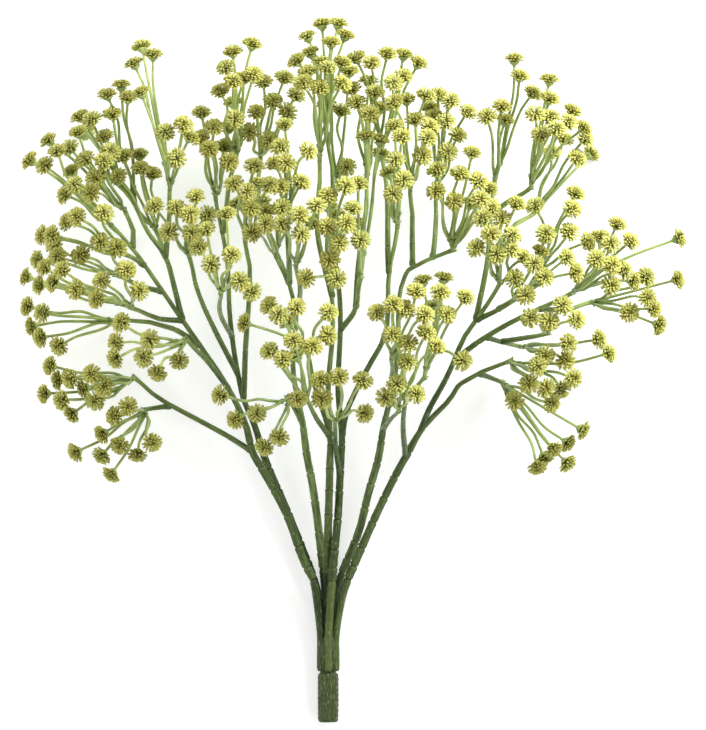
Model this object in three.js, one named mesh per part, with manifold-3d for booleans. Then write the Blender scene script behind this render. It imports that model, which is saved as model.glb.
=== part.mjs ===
// Artificial gypsophila bush, lying on its back branches: seven jointed plastic stems rise from
// one ribbed handle, fork into smooth branches and end in sprays of small pompom flower heads.
// Millimetres. +Y runs from the handle to the crown, +Z up, the floor is z = 0.

import * as THREE from 'three';
import Module from 'manifold-3d';
import { mergeVertices } from 'three/addons/utils/BufferGeometryUtils.js';

// ---- driving dimensions ---------------------------------------------------------------------

const HANDLE = { x: -16.6, z: 7.2, foot: -226, groove: -194, split: -163, slim: 6.6, full: 7.15 };
const FINGER_R = 2.2; // the seven fingers that the handle divides into
const STEM_R = 2.35; // jointed lower stem
const LIMB_R = 1.75; // smooth branch at its fork
const TWIG_R = 1.15; // where a branch hands over to a spray
const PEDICEL_R = 0.85; // flower stalk
const KNOT_R = 1.55; // cup where three flower stalks part
const COLLAR_R = 2; // foot of a spray, on its branch's end
const SEAT_GAP = 0.3; // clearance between a branch's end and its spray
const JOINT_STEP = 22; // spacing of the rings on a jointed stem
const JOINTS_UP_TO = -44; // above this height along Y the stems are smooth
const SMOOTH_STEP = 30; // spacing of the rings there

const HEAD = { r: 6.3, notch: 3.9, rise: 2.7, calyx: 4.6, petals: 5 }; // flower head
const STRAIGHT = 0.94; // cosine above which a stalk's or twig's bend is left out
const STALK = 37; // from a knot to the heads that it carries
const REACH = 66; // from a spray's root to the middle of its heads

// The crown is a flattened egg: its upper skin peaks at top, its rim lies at mid.
const CROWN = { x: -2, y: 88, wide: 222, up: 142, down: 156, mid: 42, top: 176, low: 9 };
const FOOT_Z = 4.2; // height of the heads that the crown rests on

// ---- plan of the bush -----------------------------------------------------------------------
// Each stem: name, start of the jointed stem, then its sprays. Each spray: depth in the crown
// (0 back, 1 front), the route of its branch to the spray's root, and its heads in threes.
// A third number in a head sets it back in the crown, and FOOT lays it on the floor.

const FOOT = 9;

const PLAN = [
  ['left_front', [-26, -135, 17], [
    [0.75, [[-32, -124], [-43.5, -93], [-59.5, -63.7], [-65.3, -53.4], [-69, -39.4], [-82, -13.8],
      [-98.6, 13.8], [-109, 31], [-121, 50], [-132.6, 67], [-140.4, 77.5], [-152, 88]],
    [[-207, 133], [-197, 130], [-190, 138], [-184.5, 111.6, 0.3], [-178, 117], [-181, 125, 0.3]]],
    [0.55, [[-140.4, 77.5], [-141, 88], [-146, 99]],
      [[-195.5, 146], [-180.5, 141.5], [-177, 150], [-171.7, 134], [-165.3, 121.3], [-169, 112.6],
        [-160.7, 132]]],
    [0.8, [[-132.6, 67], [-144, 72]],
      [[-184, 92.5], [-177, 96.5], [-160, 98.8], [-198.3, 85], [-191.6, 86], [-161.4, 80.7, 0.3]]],
    [0.5, [[-121, 50], [-138, 54], [-150, 59]],
      [[-191, 78.5], [-189.4, 72], [-202.2, 69.5], [-174.5, 72.5], [-152.5, 77]]],
    [0.9, [[-109, 31], [-126, 33], [-140, 38]],
      [[-209.3, 58.3], [-196.9, 62.5], [-200.8, 54], [-192, 56.5], [-186.2, 62], [-177.4, 50.5],
        [-161, 55.4], [-164, 44.5], [-145.4, 62.5], [-137.2, 49.5]]],
    [0.4, [[-98.6, 13.8], [-112, 24], [-128, 30], [-148, 31]],
      [[-208.5, 39.5], [-199.5, 35.5], [-206, 26.5], [-200, 20], [-189.5, 15]]],
    [0.95, [[-82, -13.8], [-94, 3], [-106, 17]],
      [[-148, 29], [-151.5, 16.5], [-152, 6.5], [-130, 18.5], [-133.5, 7], [-125.5, -2],
        [-112.5, 5.5, 0.3]]],
    [0.7, [[-65.3, -53.4], [-78.7, -45], [-98.6, -34], [-117, -23.4], [-128.6, -16], [-139, -7.5]],
      [[-194, 1], [-190, -7], [-181, -7.5], [-167, -4.5], [-173.5, -13], [-160.5, -10.5],
        [-197, -16], [-187, -20], [-181, -28.5], [-166.5, -19.5]]],
    [0.75, [[-117, -23.4], [-132, -26]],
      [[-144.5, -24.5], [-153, -30.5], [-160.5, -43], [-178, -53.5], [-161, -55], [-150, -49],
        [-155.5, -67], [-138.5, -53.5], [-130.5, -48]]],
    [0.3, [[-109, 31], [-113, 50], [-120, 72], [-134, 91], [-139, 102]],
      [[-156, 175], [-150, 180.5], [-146, 173.5], [-175, 161], [-168, 159], [-171.5, 151, FOOT],
        [-160, 147.5], [-155, 163], [-156, 139.5]]],
    [0.85, [[-120, 72], [-120, 95], [-118, 114]],
      [[-136, 206], [-129, 200.5], [-140.5, 195], [-136, 176], [-120, 150.5], [-113.4, 134],
        [-109.5, 155], [-105, 148, 0.3]]],
    [0.2, [[-120, 72], [-126, 86]],
      [[-160, 124.6], [-151, 123.6], [-148, 133.5], [-138, 136.5], [-137.2, 129], [-131.5, 124]]],
  ]],
  ['left_back', [-29.4, -133, 7], [
    [0.35, [[-41.6, -90], [-55.7, -61.8], [-64, -38], [-72.3, -20], [-74.9, -4.8], [-76.8, 19.5],
      [-79, 40], [-81.6, 61.8], [-86, 86], [-88.7, 108]],
    [[-97.5, 163], [-90.5, 154], [-97.2, 147], [-93, 140.5], [-82.5, 141.5, 0.2], [-80.1, 132.2],
      [-81, 153.5, 0.2]]],
    [0.6, [[-86, 86], [-80, 112], [-76, 134]],
      [[-77.3, 202.3], [-65.5, 207], [-81, 191.6], [-84.4, 177.5], [-78, 182.5], [-71, 185.5],
        [-64.5, 187.5], [-77, 169.8, 0.3], [-76, 159]]],
    [0.75, [[-74.9, -4.8], [-88.3, 24.6], [-99, 50], [-105, 70]],
      [[-127.2, 103], [-118, 87], [-113.4, 102], [-101, 109], [-104, 98], [-94.5, 98],
        [-103.5, 86.5]]],
    [0.95, [[-76.8, 19.5], [-84, 34], [-85, 47]],
      [[-94.5, 86.7], [-97.6, 77.5], [-91.5, 67], [-80.9, 98.1], [-78, 71.8], [-72.3, 55],
        [-66, 49.5]]],
    [0.8, [[-72.3, -20], [-67.2, 24.6], [-68, 61.8], [-69.5, 80]],
      [[-63.8, 128.6], [-76.2, 117], [-68.1, 111.6], [-54.2, 116.5], [-61.5, 118, 0.3],
        [-74.5, 105.2, 0.3], [-66, 103]]],
  ]],
  ['middle_back', [-20, -128, 4.6], [
    [0.7, [[-23, -100.8], [-26.9, -73.3], [-30.7, -53.4], [-33.3, -34.2], [-37.8, 4.8], [-38, 36],
      [-43, 54.7], [-49.6, 71]],
    [[-45, 115.5], [-35.4, 118], [-46.7, 103], [-56, 99.5], [-58.8, 106.5, 0.3], [-56.7, 92],
      [-64.5, 86.7]]],
    [0.3, [[-43, 54.7], [-54, 84], [-60, 112], [-60, 134]],
      [[-58, 183], [-43.9, 184.5], [-52.5, 170], [-61.6, 164], [-67, 151], [-54.9, 146],
        [-38.5, 175], [-42.8, 165]]],
    [0.95, [[-38, 36], [-36, 50], [-37, 64]],
      [[-45.3, 91.7], [-34.3, 96], [-34.3, 87], [-24.4, 103], [-27.6, 91.7, 0.2]]],
    [0.9, [[-43, 54.7], [-42, 80], [-41, 103]],
      [[-44.3, 155], [-47, 140.5], [-29.5, 138.5], [-43.2, 131], [-50.5, 130.5, 0.2]]],
    [0.72, [[-33.3, -34.2], [-41, -21]],
      [[-85, -17], [-75.5, -32.5], [-62, -28.5], [-57, -50], [-47.5, -43.5]]],
  ]],
  ['middle_left', [-17.3, -131, 12.5], [
    [0.9, [[-16.6, -106.6], [-15.4, -63.7], [-15.4, -43.8], [-18.6, -29], [-28.8, 6.7]],
      [[-53.5, 39.5], [-48, 34.5], [-37, 38.5], [-42, 29, 0.3], [-69.5, 29, 0.2], [-16.5, 35.5],
        [-17, 21]]],
    [0.85, [[-15.4, -43.8], [-14.7, 15], [-15, 46], [-14.4, 60]],
      [[-15.5, 110.1], [-6.6, 115.1], [-15.5, 102.5, 0.3], [-16.9, 89.9], [-10.5, 97.4, 0.3],
        [-5.2, 92.5], [-1, 101], [-9.8, 78.5], [-14.4, 69], [-11.6, 58.3], [-30.4, 57.6]]],
    [0.35, [[-15, 46], [-15, 84], [-11, 116]],
      [[-16, 177.5], [-16.6, 169.2], [-9.5, 165], [-4.8, 129], [-3, 190]]],
    [0.75, [[-15, 46], [-22, 90], [-22, 132]],
      [[-21.5, 195.5], [-29.6, 189], [-16.8, 190.5], [-30.5, 182], [-23.5, 180], [-8.5, 182.5],
        [-7.6, 195]]],
    [0.95, [[-15.4, -43.8], [-23, -33], [-29, -22]],
      [[-37, 17], [-28, 14.5], [-36.5, 7.5, 0.3], [-53, 10.5], [-46, 6], [-36, -19]]],
  ]],
  ['middle_front', [-14, -136, 20], [
    [0.75, [[-12.2, -114], [-10.2, -93], [-9, -69.4], [-7.7, -43.8], [-8.3, -24], [-10.2, 24.6],
      [-11, 60], [-13, 100], [-17, 146]],
    [[-29.6, 211.5], [-19, 220], [-11, 219.5], [-13.8, 208.5], [-6.5, 213], [-35, 196],
      [-28, 201.5]]],
    [0.85, [[-7.7, -43.8], [-4.5, -30.4], [2.6, -14.4], [9, 1], [19.8, 24.6], [24, 60], [27.7, 90]],
      [[26.3, 132.5], [22.7, 124.7, 0.3], [31, 119.4], [25.6, 111.9], [30, 147.7], [26, 154]]],
    [0.9, [[-9, -69.4], [-12, -50], [-12, -36]],
      [[5.5, -8], [6.5, -28.5], [-10.5, -6], [-20.5, -8], [-20.5, -19]]],
    [0.8, [[-10.2, 24.6], [0, 38], [4, 56]],
      [[2.5, 117.3], [1, 91.5, 0.3], [4, 81.7], [7.5, 148, 0.2], [16.7, 145, 0.3],
        [16.5, 137.5, 0.3]]],
    [0.55, [[0, 38], [6, 80], [8, 120]],
      [[1, 177.6], [8, 182.5], [13, 176.5], [3, 170], [8.6, 163.5], [17.7, 166.8, 0.2]]],
    [0.7, [[24, 60], [20, 105], [18, 138]],
      [[1.8, 198], [11, 195], [21.8, 200.5], [31.3, 200.2], [39.8, 194.3], [25.5, 182.5],
        [32, 187]]],
  ]],
  ['right_back', [-7.7, -131, 6], [
    [0.55, [[3.2, -104.6], [9, -81], [15.4, -58.6], [19.2, -39.4], [23, -24], [26.5, 10],
      [31.3, 50], [38.4, 66], [50, 71], [61, 75]],
    [[53.3, 126.5], [68.2, 123.5], [52.9, 113], [64.3, 106.6], [75.5, 137.5], [79.2, 118],
      [85.5, 114.5], [81, 108.5], [87, 103.5], [74.6, 105.5, 0.2]]],
    [0.35, [[50, 71], [51, 96], [53, 116]],
      [[54.3, 174.5], [61, 171], [49.5, 166.5, 0.1], [51.5, 160.5], [58, 158], [72.4, 164],
        [66, 148.5], [60, 138.5]]],
    [0.75, [[38.4, 66], [36, 92], [36, 113]],
      [[26.2, 169.5], [34.7, 171.6], [44, 173.5], [40.3, 158], [46.5, 154], [46.5, 146.5],
        [44, 137]]],
    [0.8, [[23, -24], [32, -18.2], [44, -7]],
      [[55, 48], [59, 34], [51, 39, 0.3], [71, 45], [44.4, 56, 0.3], [57, 57.5, 0.3], [69, 5]]],
    [0.95, [[23, -24], [23, -8], [24, 5]],
      [[15, 35.5], [25.5, 40], [33.5, 38.5], [44, 33.5], [39, 48]]],
    [0.95, [[19.2, -39.4], [28, -28]],
      [[34, 4.5], [27, -10.5], [20.5, -18], [39.5, -16.5]]],
  ]],
  ['right_front', [-3.8, -135, 16], [
    [0.7, [[5.8, -113], [14.7, -93], [26.9, -68], [33, -57], [43, -40], [50, -31], [60, -19],
      [66, -10], [80, -3], [98, 4]],
    [[162.5, 9.5], [139.5, -6.5], [132.5, -12.5], [116.5, 0.5], [113, -9], [121.5, -12]]],
    [0.8, [[43, -40], [50, -20], [63.4, 4.8], [71.7, 20.2], [79.4, 31], [92, 52]],
      [[103.4, 104.5], [93.5, 95], [83.5, 94], [86.5, 86.5], [100.2, 85], [78.2, 76.7],
        [91, 72.5], [100.6, 75, 0.2], [108.7, 71.5, 0.2]]],
    [0.5, [[79.4, 31], [84, 70], [88, 98], [90, 118]],
      [[85.6, 161], [94.1, 167], [97.3, 159, 0.2], [102.8, 197.6], [106, 187], [114.2, 176]]],
    [0.75, [[63.4, 4.8], [70, 10], [86, 20], [117, 37.4], [137, 47]],
      [[155.8, 68.9], [164.4, 66], [171.1, 61.5], [177.5, 56.5], [164.7, 55], [167.9, 91.3],
        [163.7, 79], [157, 84, 0.3], [176.5, 81], [207.4, 83.1]]],
    [0.35, [[117, 37.4], [134, 38], [150, 42]],
      [[186.8, 58.3], [207, 57], [188, 44.5], [191.5, 37.5], [176, 36], [194.5, 29.5]]],
    [0.9, [[79.4, 31], [92, 37], [101, 43]],
      [[135.6, 70], [140.6, 61.5], [115, 66.1], [120.7, 58.5], [117.8, 74.5, 0.3], [109.5, 47],
        [103, 57, 0.3]]],
    [0.6, [[92, 37], [108, 48], [117, 60]],
      [[141.3, 111], [139.1, 102.3], [116, 103.4], [122.4, 85.3], [138.1, 86.7], [148.4, 81]]],
    [0.25, [[84, 70], [100, 88], [115, 99]],
      [[134.3, 146], [147.6, 147], [127.5, 138.5], [152, 137.5, FOOT], [142.7, 134.5]]],
    [0.75, [[88, 98], [100, 106], [111, 114]],
      [[125, 184.3], [125, 171], [116.5, 162], [126.4, 160.6], [135.1, 157], [140, 163.5],
        [128.7, 153], [145.6, 154.5], [120.5, 149.5]]],
    [0.5, [[86, 20], [96, 16.5], [105, 14.5]],
      [[136.5, 15], [135.5, 6.5], [122, 8.5], [156, 18.5]]],
    [0.85, [[96, 16.5], [109, 18.5], [122, 22]],
      [[141.5, 31], [132.5, 39.5], [124.5, 30.5], [113, 32]]],
    [0.6, [[80, -3], [93, -8]],
      [[103, -20.5], [126, -22], [146, -39.5], [136.5, -48], [128, -51.5], [122, -57],
        [117.5, -62.5], [136, -60]]],
    [0.95, [[33, -57], [32, -38], [33, -18]],
      [[26, 20.5], [34.5, 17], [44, 21], [52, 14.5]]],
  ]],
];

// ---- small vector helpers -------------------------------------------------------------------

const vec = (x, y, z) => new THREE.Vector3(x, y, z);
const mix = (a, b, t) => a.clone().lerp(b, t);
const along = (a, b) => b.clone().sub(a).normalize();

// A point of the frame that relaxation may move: give is how freely, across and in height.
function point(place, across, height) {
  return { at: place.clone(), home: place.clone(), across, height };
}

// Height in the crown under its upper skin: depth 1 on the skin, 0 on the floor side.
function crownHeight(x, y, depth) {
  const side = (x - CROWN.x) / CROWN.wide;
  const end = (y - CROWN.y) / (y < CROWN.y ? CROWN.down : CROWN.up);
  const rim = Math.sqrt(Math.max(0, 1 - side * side - end * end));
  const skin = CROWN.mid + (CROWN.top - CROWN.mid) * rim;
  const back = CROWN.mid + (CROWN.low - CROWN.mid) * rim;
  return back + (skin - back) * depth;
}

// ---- frame of the bush: routes, knots and heads as points and rods --------------------------

const points = [];
const rods = []; // { a, b, r }: the space that a stalk or a head takes

function addRod(a, b, r) {
  rods.push({ a, b, r });
}

function middle(list) {
  const sum = vec(0, 0, 0);
  for (const p of list) sum.add(p);
  return sum.divideScalar(list.length);
}

// The heads of a spray, and the height of its root, which lies REACH below and inside them.
function sprayHeads(depth, heads, rootX, rootY) {
  const places = heads.map(([x, y, back = 0]) => {
    const z = back === FOOT ? FOOT_Z : crownHeight(x, y, depth - back);
    return vec(x, y, z);
  });
  const centre = middle(places);
  const flat = Math.hypot(centre.x - rootX, centre.y - rootY);
  const drop = Math.sqrt(Math.max(144, REACH * REACH - flat * flat));
  return { places, rootZ: Math.max(11, centre.z - drop) };
}

// A branch starts at the point of its stem that lies nearest to the first place of its route.
function nearestPoint(route, x, y) {
  return route.reduce((best, p) =>
    Math.hypot(p.at.x - x, p.at.y - y) < Math.hypot(best.at.x - x, best.at.y - y) ? p : best);
}

function routeLength(places) {
  const sums = [0];
  for (let i = 1; i < places.length; i++) {
    const [ax, ay] = places[i - 1];
    const [bx, by] = places[i];
    sums.push(sums[i - 1] + Math.hypot(bx - ax, by - ay));
  }
  return sums;
}

function buildStem([name, base, sprayPlans]) {
  const start = point(vec(...base), 0, 0);
  points.push(start);
  const known = [start];
  const routes = [];
  const sprays = [];
  sprayPlans.forEach(([depth, way, heads], index) => {
    const [rootX, rootY] = way[way.length - 1];
    const { places, rootZ } = sprayHeads(depth, heads, rootX, rootY);
    const first = index === 0 ? start : nearestPoint(known, ...way[0]);
    const rest = index === 0 ? way : way.slice(1);
    const sums = routeLength([[first.at.x, first.at.y], ...rest]);
    const whole = sums[sums.length - 1];
    const route = [first];
    rest.forEach(([x, y], i) => {
      const share = sums[i + 1] / whole;
      const z = first.at.z + (rootZ - first.at.z) * share;
      const last = i === rest.length - 1;
      const p = point(vec(x, y, z), last ? 0 : 0.03, last ? 0 : 0.5);
      points.push(p);
      addRod(route[route.length - 1], p, index === 0 && y < JOINTS_UP_TO ? STEM_R : LIMB_R);
      route.push(p);
      if (!last) known.push(p);
    });
    routes.push({ route, jointed: index === 0 });
    sprays.push(buildSpray(`spray_${name}_${index + 1}`, route, places, heads));
  });
  return { name: `stem_${name}`, routes, sprays };
}

// A spray: from its root twigs run to knots, and from each knot up to four stalks to heads.
function buildSpray(name, route, places, heads) {
  const root = route[route.length - 1];
  const triples = [];
  for (let i = 0; i < places.length; i += 3) {
    const left = places.length - i;
    const count = left === 4 ? 4 : Math.min(3, left);
    const centre = middle(places.slice(i, i + count));
    const away = centre.distanceTo(root.at);
    const inward = along(centre, root.at);
    const knot = point(centre.clone().addScaledVector(inward, Math.min(STALK, away * 0.62)), 0.5, 1);
    const bend = point(mix(root.at, knot.at, 0.5), 0.8, 1);
    points.push(knot, bend);
    addRod(root, bend, TWIG_R);
    addRod(bend, knot, TWIG_R);
    const stalks = places.slice(i, i + count).map((place, k) => {
      const fixed = heads[i + k][2] === FOOT;
      const head = point(place, fixed ? 0 : 0.12, fixed ? 0 : 1);
      const swing = knot.at.clone().addScaledVector(inward, -0.5 * STALK);
      const waist = point(mix(mix(knot.at, place, 0.5), swing, 0.35), 0.8, 1);
      points.push(head, waist);
      addRod(knot, waist, PEDICEL_R);
      addRod(waist, head, PEDICEL_R);
      addRod(head, head, HEAD.r);
      return { head, waist };
    });
    triples.push({ knot, bend, stalks });
    if (count === 4) break;
  }
  return { name, root, before: route[route.length - 2], triples };
}

// ---- relaxation: rods of the frame that would touch push each other apart -------------------

const ROUNDS = 120;
const CLEARANCE = 0.9;
const FLOOR_CLEARANCE = 2.5;

function nearPairs() {
  const list = [];
  const reach = rods.map(({ a, b, r }) => ({
    mid: mix(a.at, b.at, 0.5),
    size: a.at.distanceTo(b.at) / 2 + r + 4,
  }));
  for (let i = 0; i < rods.length; i++) {
    for (let j = i + 1; j < rods.length; j++) {
      const one = rods[i];
      const two = rods[j];
      if (one.a === two.a || one.a === two.b || one.b === two.a || one.b === two.b) continue;
      if (reach[i].mid.distanceTo(reach[j].mid) < reach[i].size + reach[j].size) {
        list.push([one, two]);
      }
    }
  }
  return list;
}

const clamp01 = (t) => Math.min(1, Math.max(0, t));

// Parameters of the closest points of two segments.
function closest(one, two) {
  const u = one.b.at.clone().sub(one.a.at);
  const v = two.b.at.clone().sub(two.a.at);
  const w = one.a.at.clone().sub(two.a.at);
  const uu = u.dot(u);
  const vv = v.dot(v);
  const uv = u.dot(v);
  const uw = u.dot(w);
  const vw = v.dot(w);
  const det = uu * vv - uv * uv;
  let s = det > 1e-9 ? clamp01((uv * vw - vv * uw) / det) : 0;
  let t = vv > 1e-9 ? clamp01((uv * s + vw) / vv) : 0;
  s = uu > 1e-9 ? clamp01((uv * t - uw) / uu) : 0;
  return [s, t];
}

function pushApart([one, two]) {
  const [s, t] = closest(one, two);
  const gap = mix(one.a.at, one.b.at, s).sub(mix(two.a.at, two.b.at, t));
  const size = gap.length();
  const lack = one.r + two.r + CLEARANCE - size;
  if (lack <= 0) return;
  if (size < 1e-6) gap.set(0, 0, 1);
  else gap.divideScalar(size);
  const flat = gap.x * gap.x + gap.y * gap.y;
  const steep = gap.z * gap.z;
  const ends = [[one.a, 1 - s, 1], [one.b, s, 1], [two.a, 1 - t, -1], [two.b, t, -1]];
  let give = 0;
  for (const [p, share] of ends) {
    give += share * share * (flat * p.across + steep * p.height);
  }
  if (give < 1e-6) return;
  const step = Math.min(lack / give, 6 / Math.sqrt(give));
  for (const [p, share, sign] of ends) {
    p.at.x += sign * step * share * p.across * gap.x;
    p.at.y += sign * step * share * p.across * gap.y;
    p.at.z += sign * step * share * p.height * gap.z;
  }
}

function relax(stems) {
  let pairs = [];
  for (let round = 0; round < ROUNDS; round++) {
    if (round % 8 === 0) pairs = nearPairs();
    if (round < ROUNDS * 0.6) {
      for (const p of points) p.at.lerp(p.home, p.across + p.height > 0 ? 0.03 : 0);
      for (const stem of stems) stem.sprays.forEach(easeSpray);
    }
    pairs.forEach(pushApart);
    for (const p of points) if (p.height > 0) p.at.z = Math.max(p.at.z, FLOOR_CLEARANCE);
    for (const rod of rods) {
      if (rod.a === rod.b && rod.a.height > 0) rod.a.at.z = Math.max(rod.a.at.z, HEAD.r);
    }
  }
}

// Waists and bends drift back to the middle of what they join.
function easeSpray({ root, triples }) {
  for (const { knot, bend, stalks } of triples) {
    bend.at.lerp(mix(root.at, knot.at, 0.5), 0.1);
    for (const { head, waist } of stalks) waist.at.lerp(mix(knot.at, head.at, 0.5), 0.06);
  }
}

// ---- solids ---------------------------------------------------------------------------------

const wasm = await Module();
wasm.setup();

const SLIVER = 0.02; // faces thinner than this are smoothed away where solids join

const joined = (bodies) => wasm.Manifold.union(bodies).simplify(SLIVER);

// A closed mesh under construction: rings of corners joined by bands of triangles.
class Skin {
  constructor() {
    this.vertices = [];
    this.faces = [];
  }

  ring(places) {
    const start = this.vertices.length;
    this.vertices.push(...places);
    return places.map((_, k) => start + k);
  }

  // Triangles between two rings, which may differ in their number of corners.
  band(low, high) {
    const n = low.length;
    const m = high.length;
    let i = 0;
    let j = 0;
    while (i < n || j < m) {
      if (j >= m || (i < n && (i + 0.5) * m <= (j + 0.5) * n)) {
        this.faces.push([low[i % n], low[(i + 1) % n], high[j % m]]);
        i++;
      } else {
        this.faces.push([high[j % m], low[i % n], high[(j + 1) % m]]);
        j++;
      }
    }
  }

  // The ring turned so that it starts at the corner nearest to the start of the other one.
  facing(ring, other) {
    const target = this.vertices[other[0]];
    const far = (k) => this.vertices[ring[k]].distanceTo(target);
    let best = 0;
    for (let k = 1; k < ring.length; k++) if (far(k) < far(best)) best = k;
    return ring.slice(best).concat(ring.slice(0, best));
  }

  closeStart(ring) {
    for (let k = 1; k < ring.length - 1; k++) this.faces.push([ring[0], ring[k + 1], ring[k]]);
  }

  closeEnd(ring) {
    for (let k = 1; k < ring.length - 1; k++) this.faces.push([ring[0], ring[k], ring[k + 1]]);
  }

  closeToPoint(ring, apex) {
    const tip = this.vertices.push(apex) - 1;
    ring.forEach((corner, k) => this.faces.push([corner, ring[(k + 1) % ring.length], tip]));
  }

  solid() {
    return new wasm.Manifold(new wasm.Mesh({
      numProp: 3,
      vertProperties: new Float32Array(this.vertices.flatMap((v) => [v.x, v.y, v.z])),
      triVerts: new Uint32Array(this.faces.flat()),
    }));
  }
}

// Frames carried along a path without twist, each square to the path's middle direction there.
function framesAlong(path) {
  const frames = [];
  let side = null;
  for (let i = 0; i < path.length; i++) {
    const ahead = along(path[Math.max(i - 1, 0)], path[Math.min(i + 1, path.length - 1)]);
    if (!side) side = Math.abs(ahead.z) < 0.8 ? vec(0, 0, 1) : vec(1, 0, 0);
    side = side.clone().addScaledVector(ahead, -side.dot(ahead)).normalize();
    frames.push({ ahead, side, other: ahead.clone().cross(side) });
  }
  return frames;
}

function ringAt(centre, frame, radii, lift = [], turned = 0) {
  return radii.map((r, k) => {
    const turn = turned + (2 * Math.PI * k) / radii.length;
    return centre.clone()
      .addScaledVector(frame.side, r * Math.cos(turn))
      .addScaledVector(frame.other, r * Math.sin(turn))
      .addScaledVector(frame.ahead, lift[k] ?? 0);
  });
}

// A tube with the given corners and radius at each place of the path, flat at both ends.
function tube(path, radii, corners) {
  const frames = framesAlong(path);
  const skin = new Skin();
  const rings = path.map((p, i) => skin.ring(ringAt(p, frames[i], Array(corners).fill(radii[i]))));
  for (let i = 1; i < rings.length; i++) skin.band(rings[i - 1], rings[i]);
  skin.closeStart(rings[0]);
  skin.closeEnd(rings[rings.length - 1]);
  return skin.solid();
}

// Stalk and flower head grown from three corners of a knot: a three-sided stalk, a calyx cone
// and a low dome cut into petals that lie at two heights.
function growHead(skin, base, knot, waist, head) {
  const last = along(waist, head);
  const neck = head.clone().addScaledVector(last, -HEAD.calyx);
  const bent = along(knot, waist).dot(last) < STRAIGHT;
  const path = bent ? [knot, waist, neck] : [knot, neck];
  const frames = framesAlong([...path, head]);
  let below = base;
  for (let i = 1; i < path.length; i++) {
    const ring = skin.ring(ringAt(path[i], frames[i], Array(3).fill(PEDICEL_R)));
    const turned = skin.facing(ring, below);
    skin.band(below, turned);
    below = turned;
  }
  const radii = [];
  const lift = [];
  for (let k = 0; k < HEAD.petals; k++) {
    radii.push(HEAD.r * (k % 2 ? 0.94 : 1), HEAD.notch);
    lift.push(k % 2 ? 0.6 : -0.7, -0.9);
  }
  const rim = skin.ring(ringAt(head, { ...frames[path.length], ahead: last }, radii, lift));
  skin.band(below, skin.facing(rim, below));
  skin.closeToPoint(rim, head.clone().addScaledVector(last, HEAD.rise));
}

// A twig that ends in a knot, with the knot's stalks grown from the facets of its cup.
function twigSolid(start, { knot, bend, stalks }) {
  const arrive = along(bend.at, knot.at);
  const mouth = knot.at.clone().addScaledVector(arrive, 1.2);
  const bent = along(start, bend.at).dot(arrive) < STRAIGHT;
  const path = bent ? [start, bend.at, mouth] : [start, mouth];
  const frames = framesAlong(path);
  const { side, other } = frames[path.length - 1];
  const facing = stalks.map(({ head, waist }) => {
    const out = mix(waist.at, head.at, 0.5).sub(knot.at);
    return { head, waist, angle: Math.atan2(out.dot(other), out.dot(side)) };
  });
  facing.sort((one, two) => one.angle - two.angle);
  const corners = Math.max(3, stalks.length);
  let across = 0;
  let up = 0;
  facing.forEach(({ angle }, k) => {
    const off = angle - (2 * Math.PI * (k + 0.5)) / corners;
    across += Math.cos(off);
    up += Math.sin(off);
  });
  const turned = Math.atan2(up, across);
  const skin = new Skin();
  const rings = path.map((p, i) => {
    const size = p === mouth ? KNOT_R : TWIG_R;
    return skin.ring(ringAt(p, frames[i], Array(corners).fill(size), [], turned));
  });
  skin.closeStart(rings[0]);
  for (let i = 1; i < rings.length; i++) skin.band(rings[i - 1], rings[i]);
  const cup = rings[rings.length - 1];
  const [tip] = skin.ring([mouth.clone().addScaledVector(arrive, 1.2)]);
  cup.forEach((corner, k) => {
    const facet = [corner, cup[(k + 1) % corners], tip];
    if (k >= facing.length) skin.faces.push(facet);
    else growHead(skin, facet, knot.at, facing[k].waist.at, facing[k].head.at);
  });
  return skin.solid();
}

function spraySolid({ root, before, triples }) {
  const ahead = along(before.at, root.at);
  const seat = root.at.clone().addScaledVector(ahead, SEAT_GAP);
  const collar = seat.clone().addScaledVector(ahead, 4.4);
  const inside = seat.clone().addScaledVector(ahead, 2.2);
  const twigs = triples.map((triple) => twigSolid(inside, triple));
  return joined([tube([seat, collar], [COLLAR_R, COLLAR_R], 4), ...twigs]);
}

// Rings of a jointed stem: each length swells towards its top and steps in at the next one.
function jointedTube(path) {
  const places = [];
  const radii = [];
  const curve = new THREE.CatmullRomCurve3(path, false, 'centripetal');
  const total = curve.getLength();
  const joints = path.map((p) => p).filter((p) => p.y < JOINTS_UP_TO).length;
  const jointedShare = (joints - 0.5) / (path.length - 1);
  const steps = Math.max(2, Math.round((total * jointedShare) / JOINT_STEP));
  for (let i = 0; i < steps; i++) {
    const low = (jointedShare * i) / steps;
    const high = (jointedShare * (i + 0.93)) / steps;
    places.push(curve.getPoint(low), curve.getPoint(high));
    radii.push(STEM_R * 0.84, STEM_R);
  }
  const smooth = Math.max(2, Math.ceil((total * (1 - jointedShare)) / SMOOTH_STEP));
  for (let i = 0; i <= smooth; i++) {
    places.push(curve.getPoint(jointedShare + ((1 - jointedShare) * i) / smooth));
    radii.push(LIMB_R * 1.1 + (TWIG_R - LIMB_R * 1.1) * (i / smooth));
  }
  return tube(places, radii, 5);
}

function stemSolid({ routes }) {
  const bodies = routes.map(({ route, jointed }) => {
    const path = route.map((p) => p.at);
    if (jointed) return jointedTube(path);
    const radii = path.map((p, i) => LIMB_R + (TWIG_R - LIMB_R) * (i / (path.length - 1)));
    return tube(path, radii, 3);
  });
  return joined(bodies);
}

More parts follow.
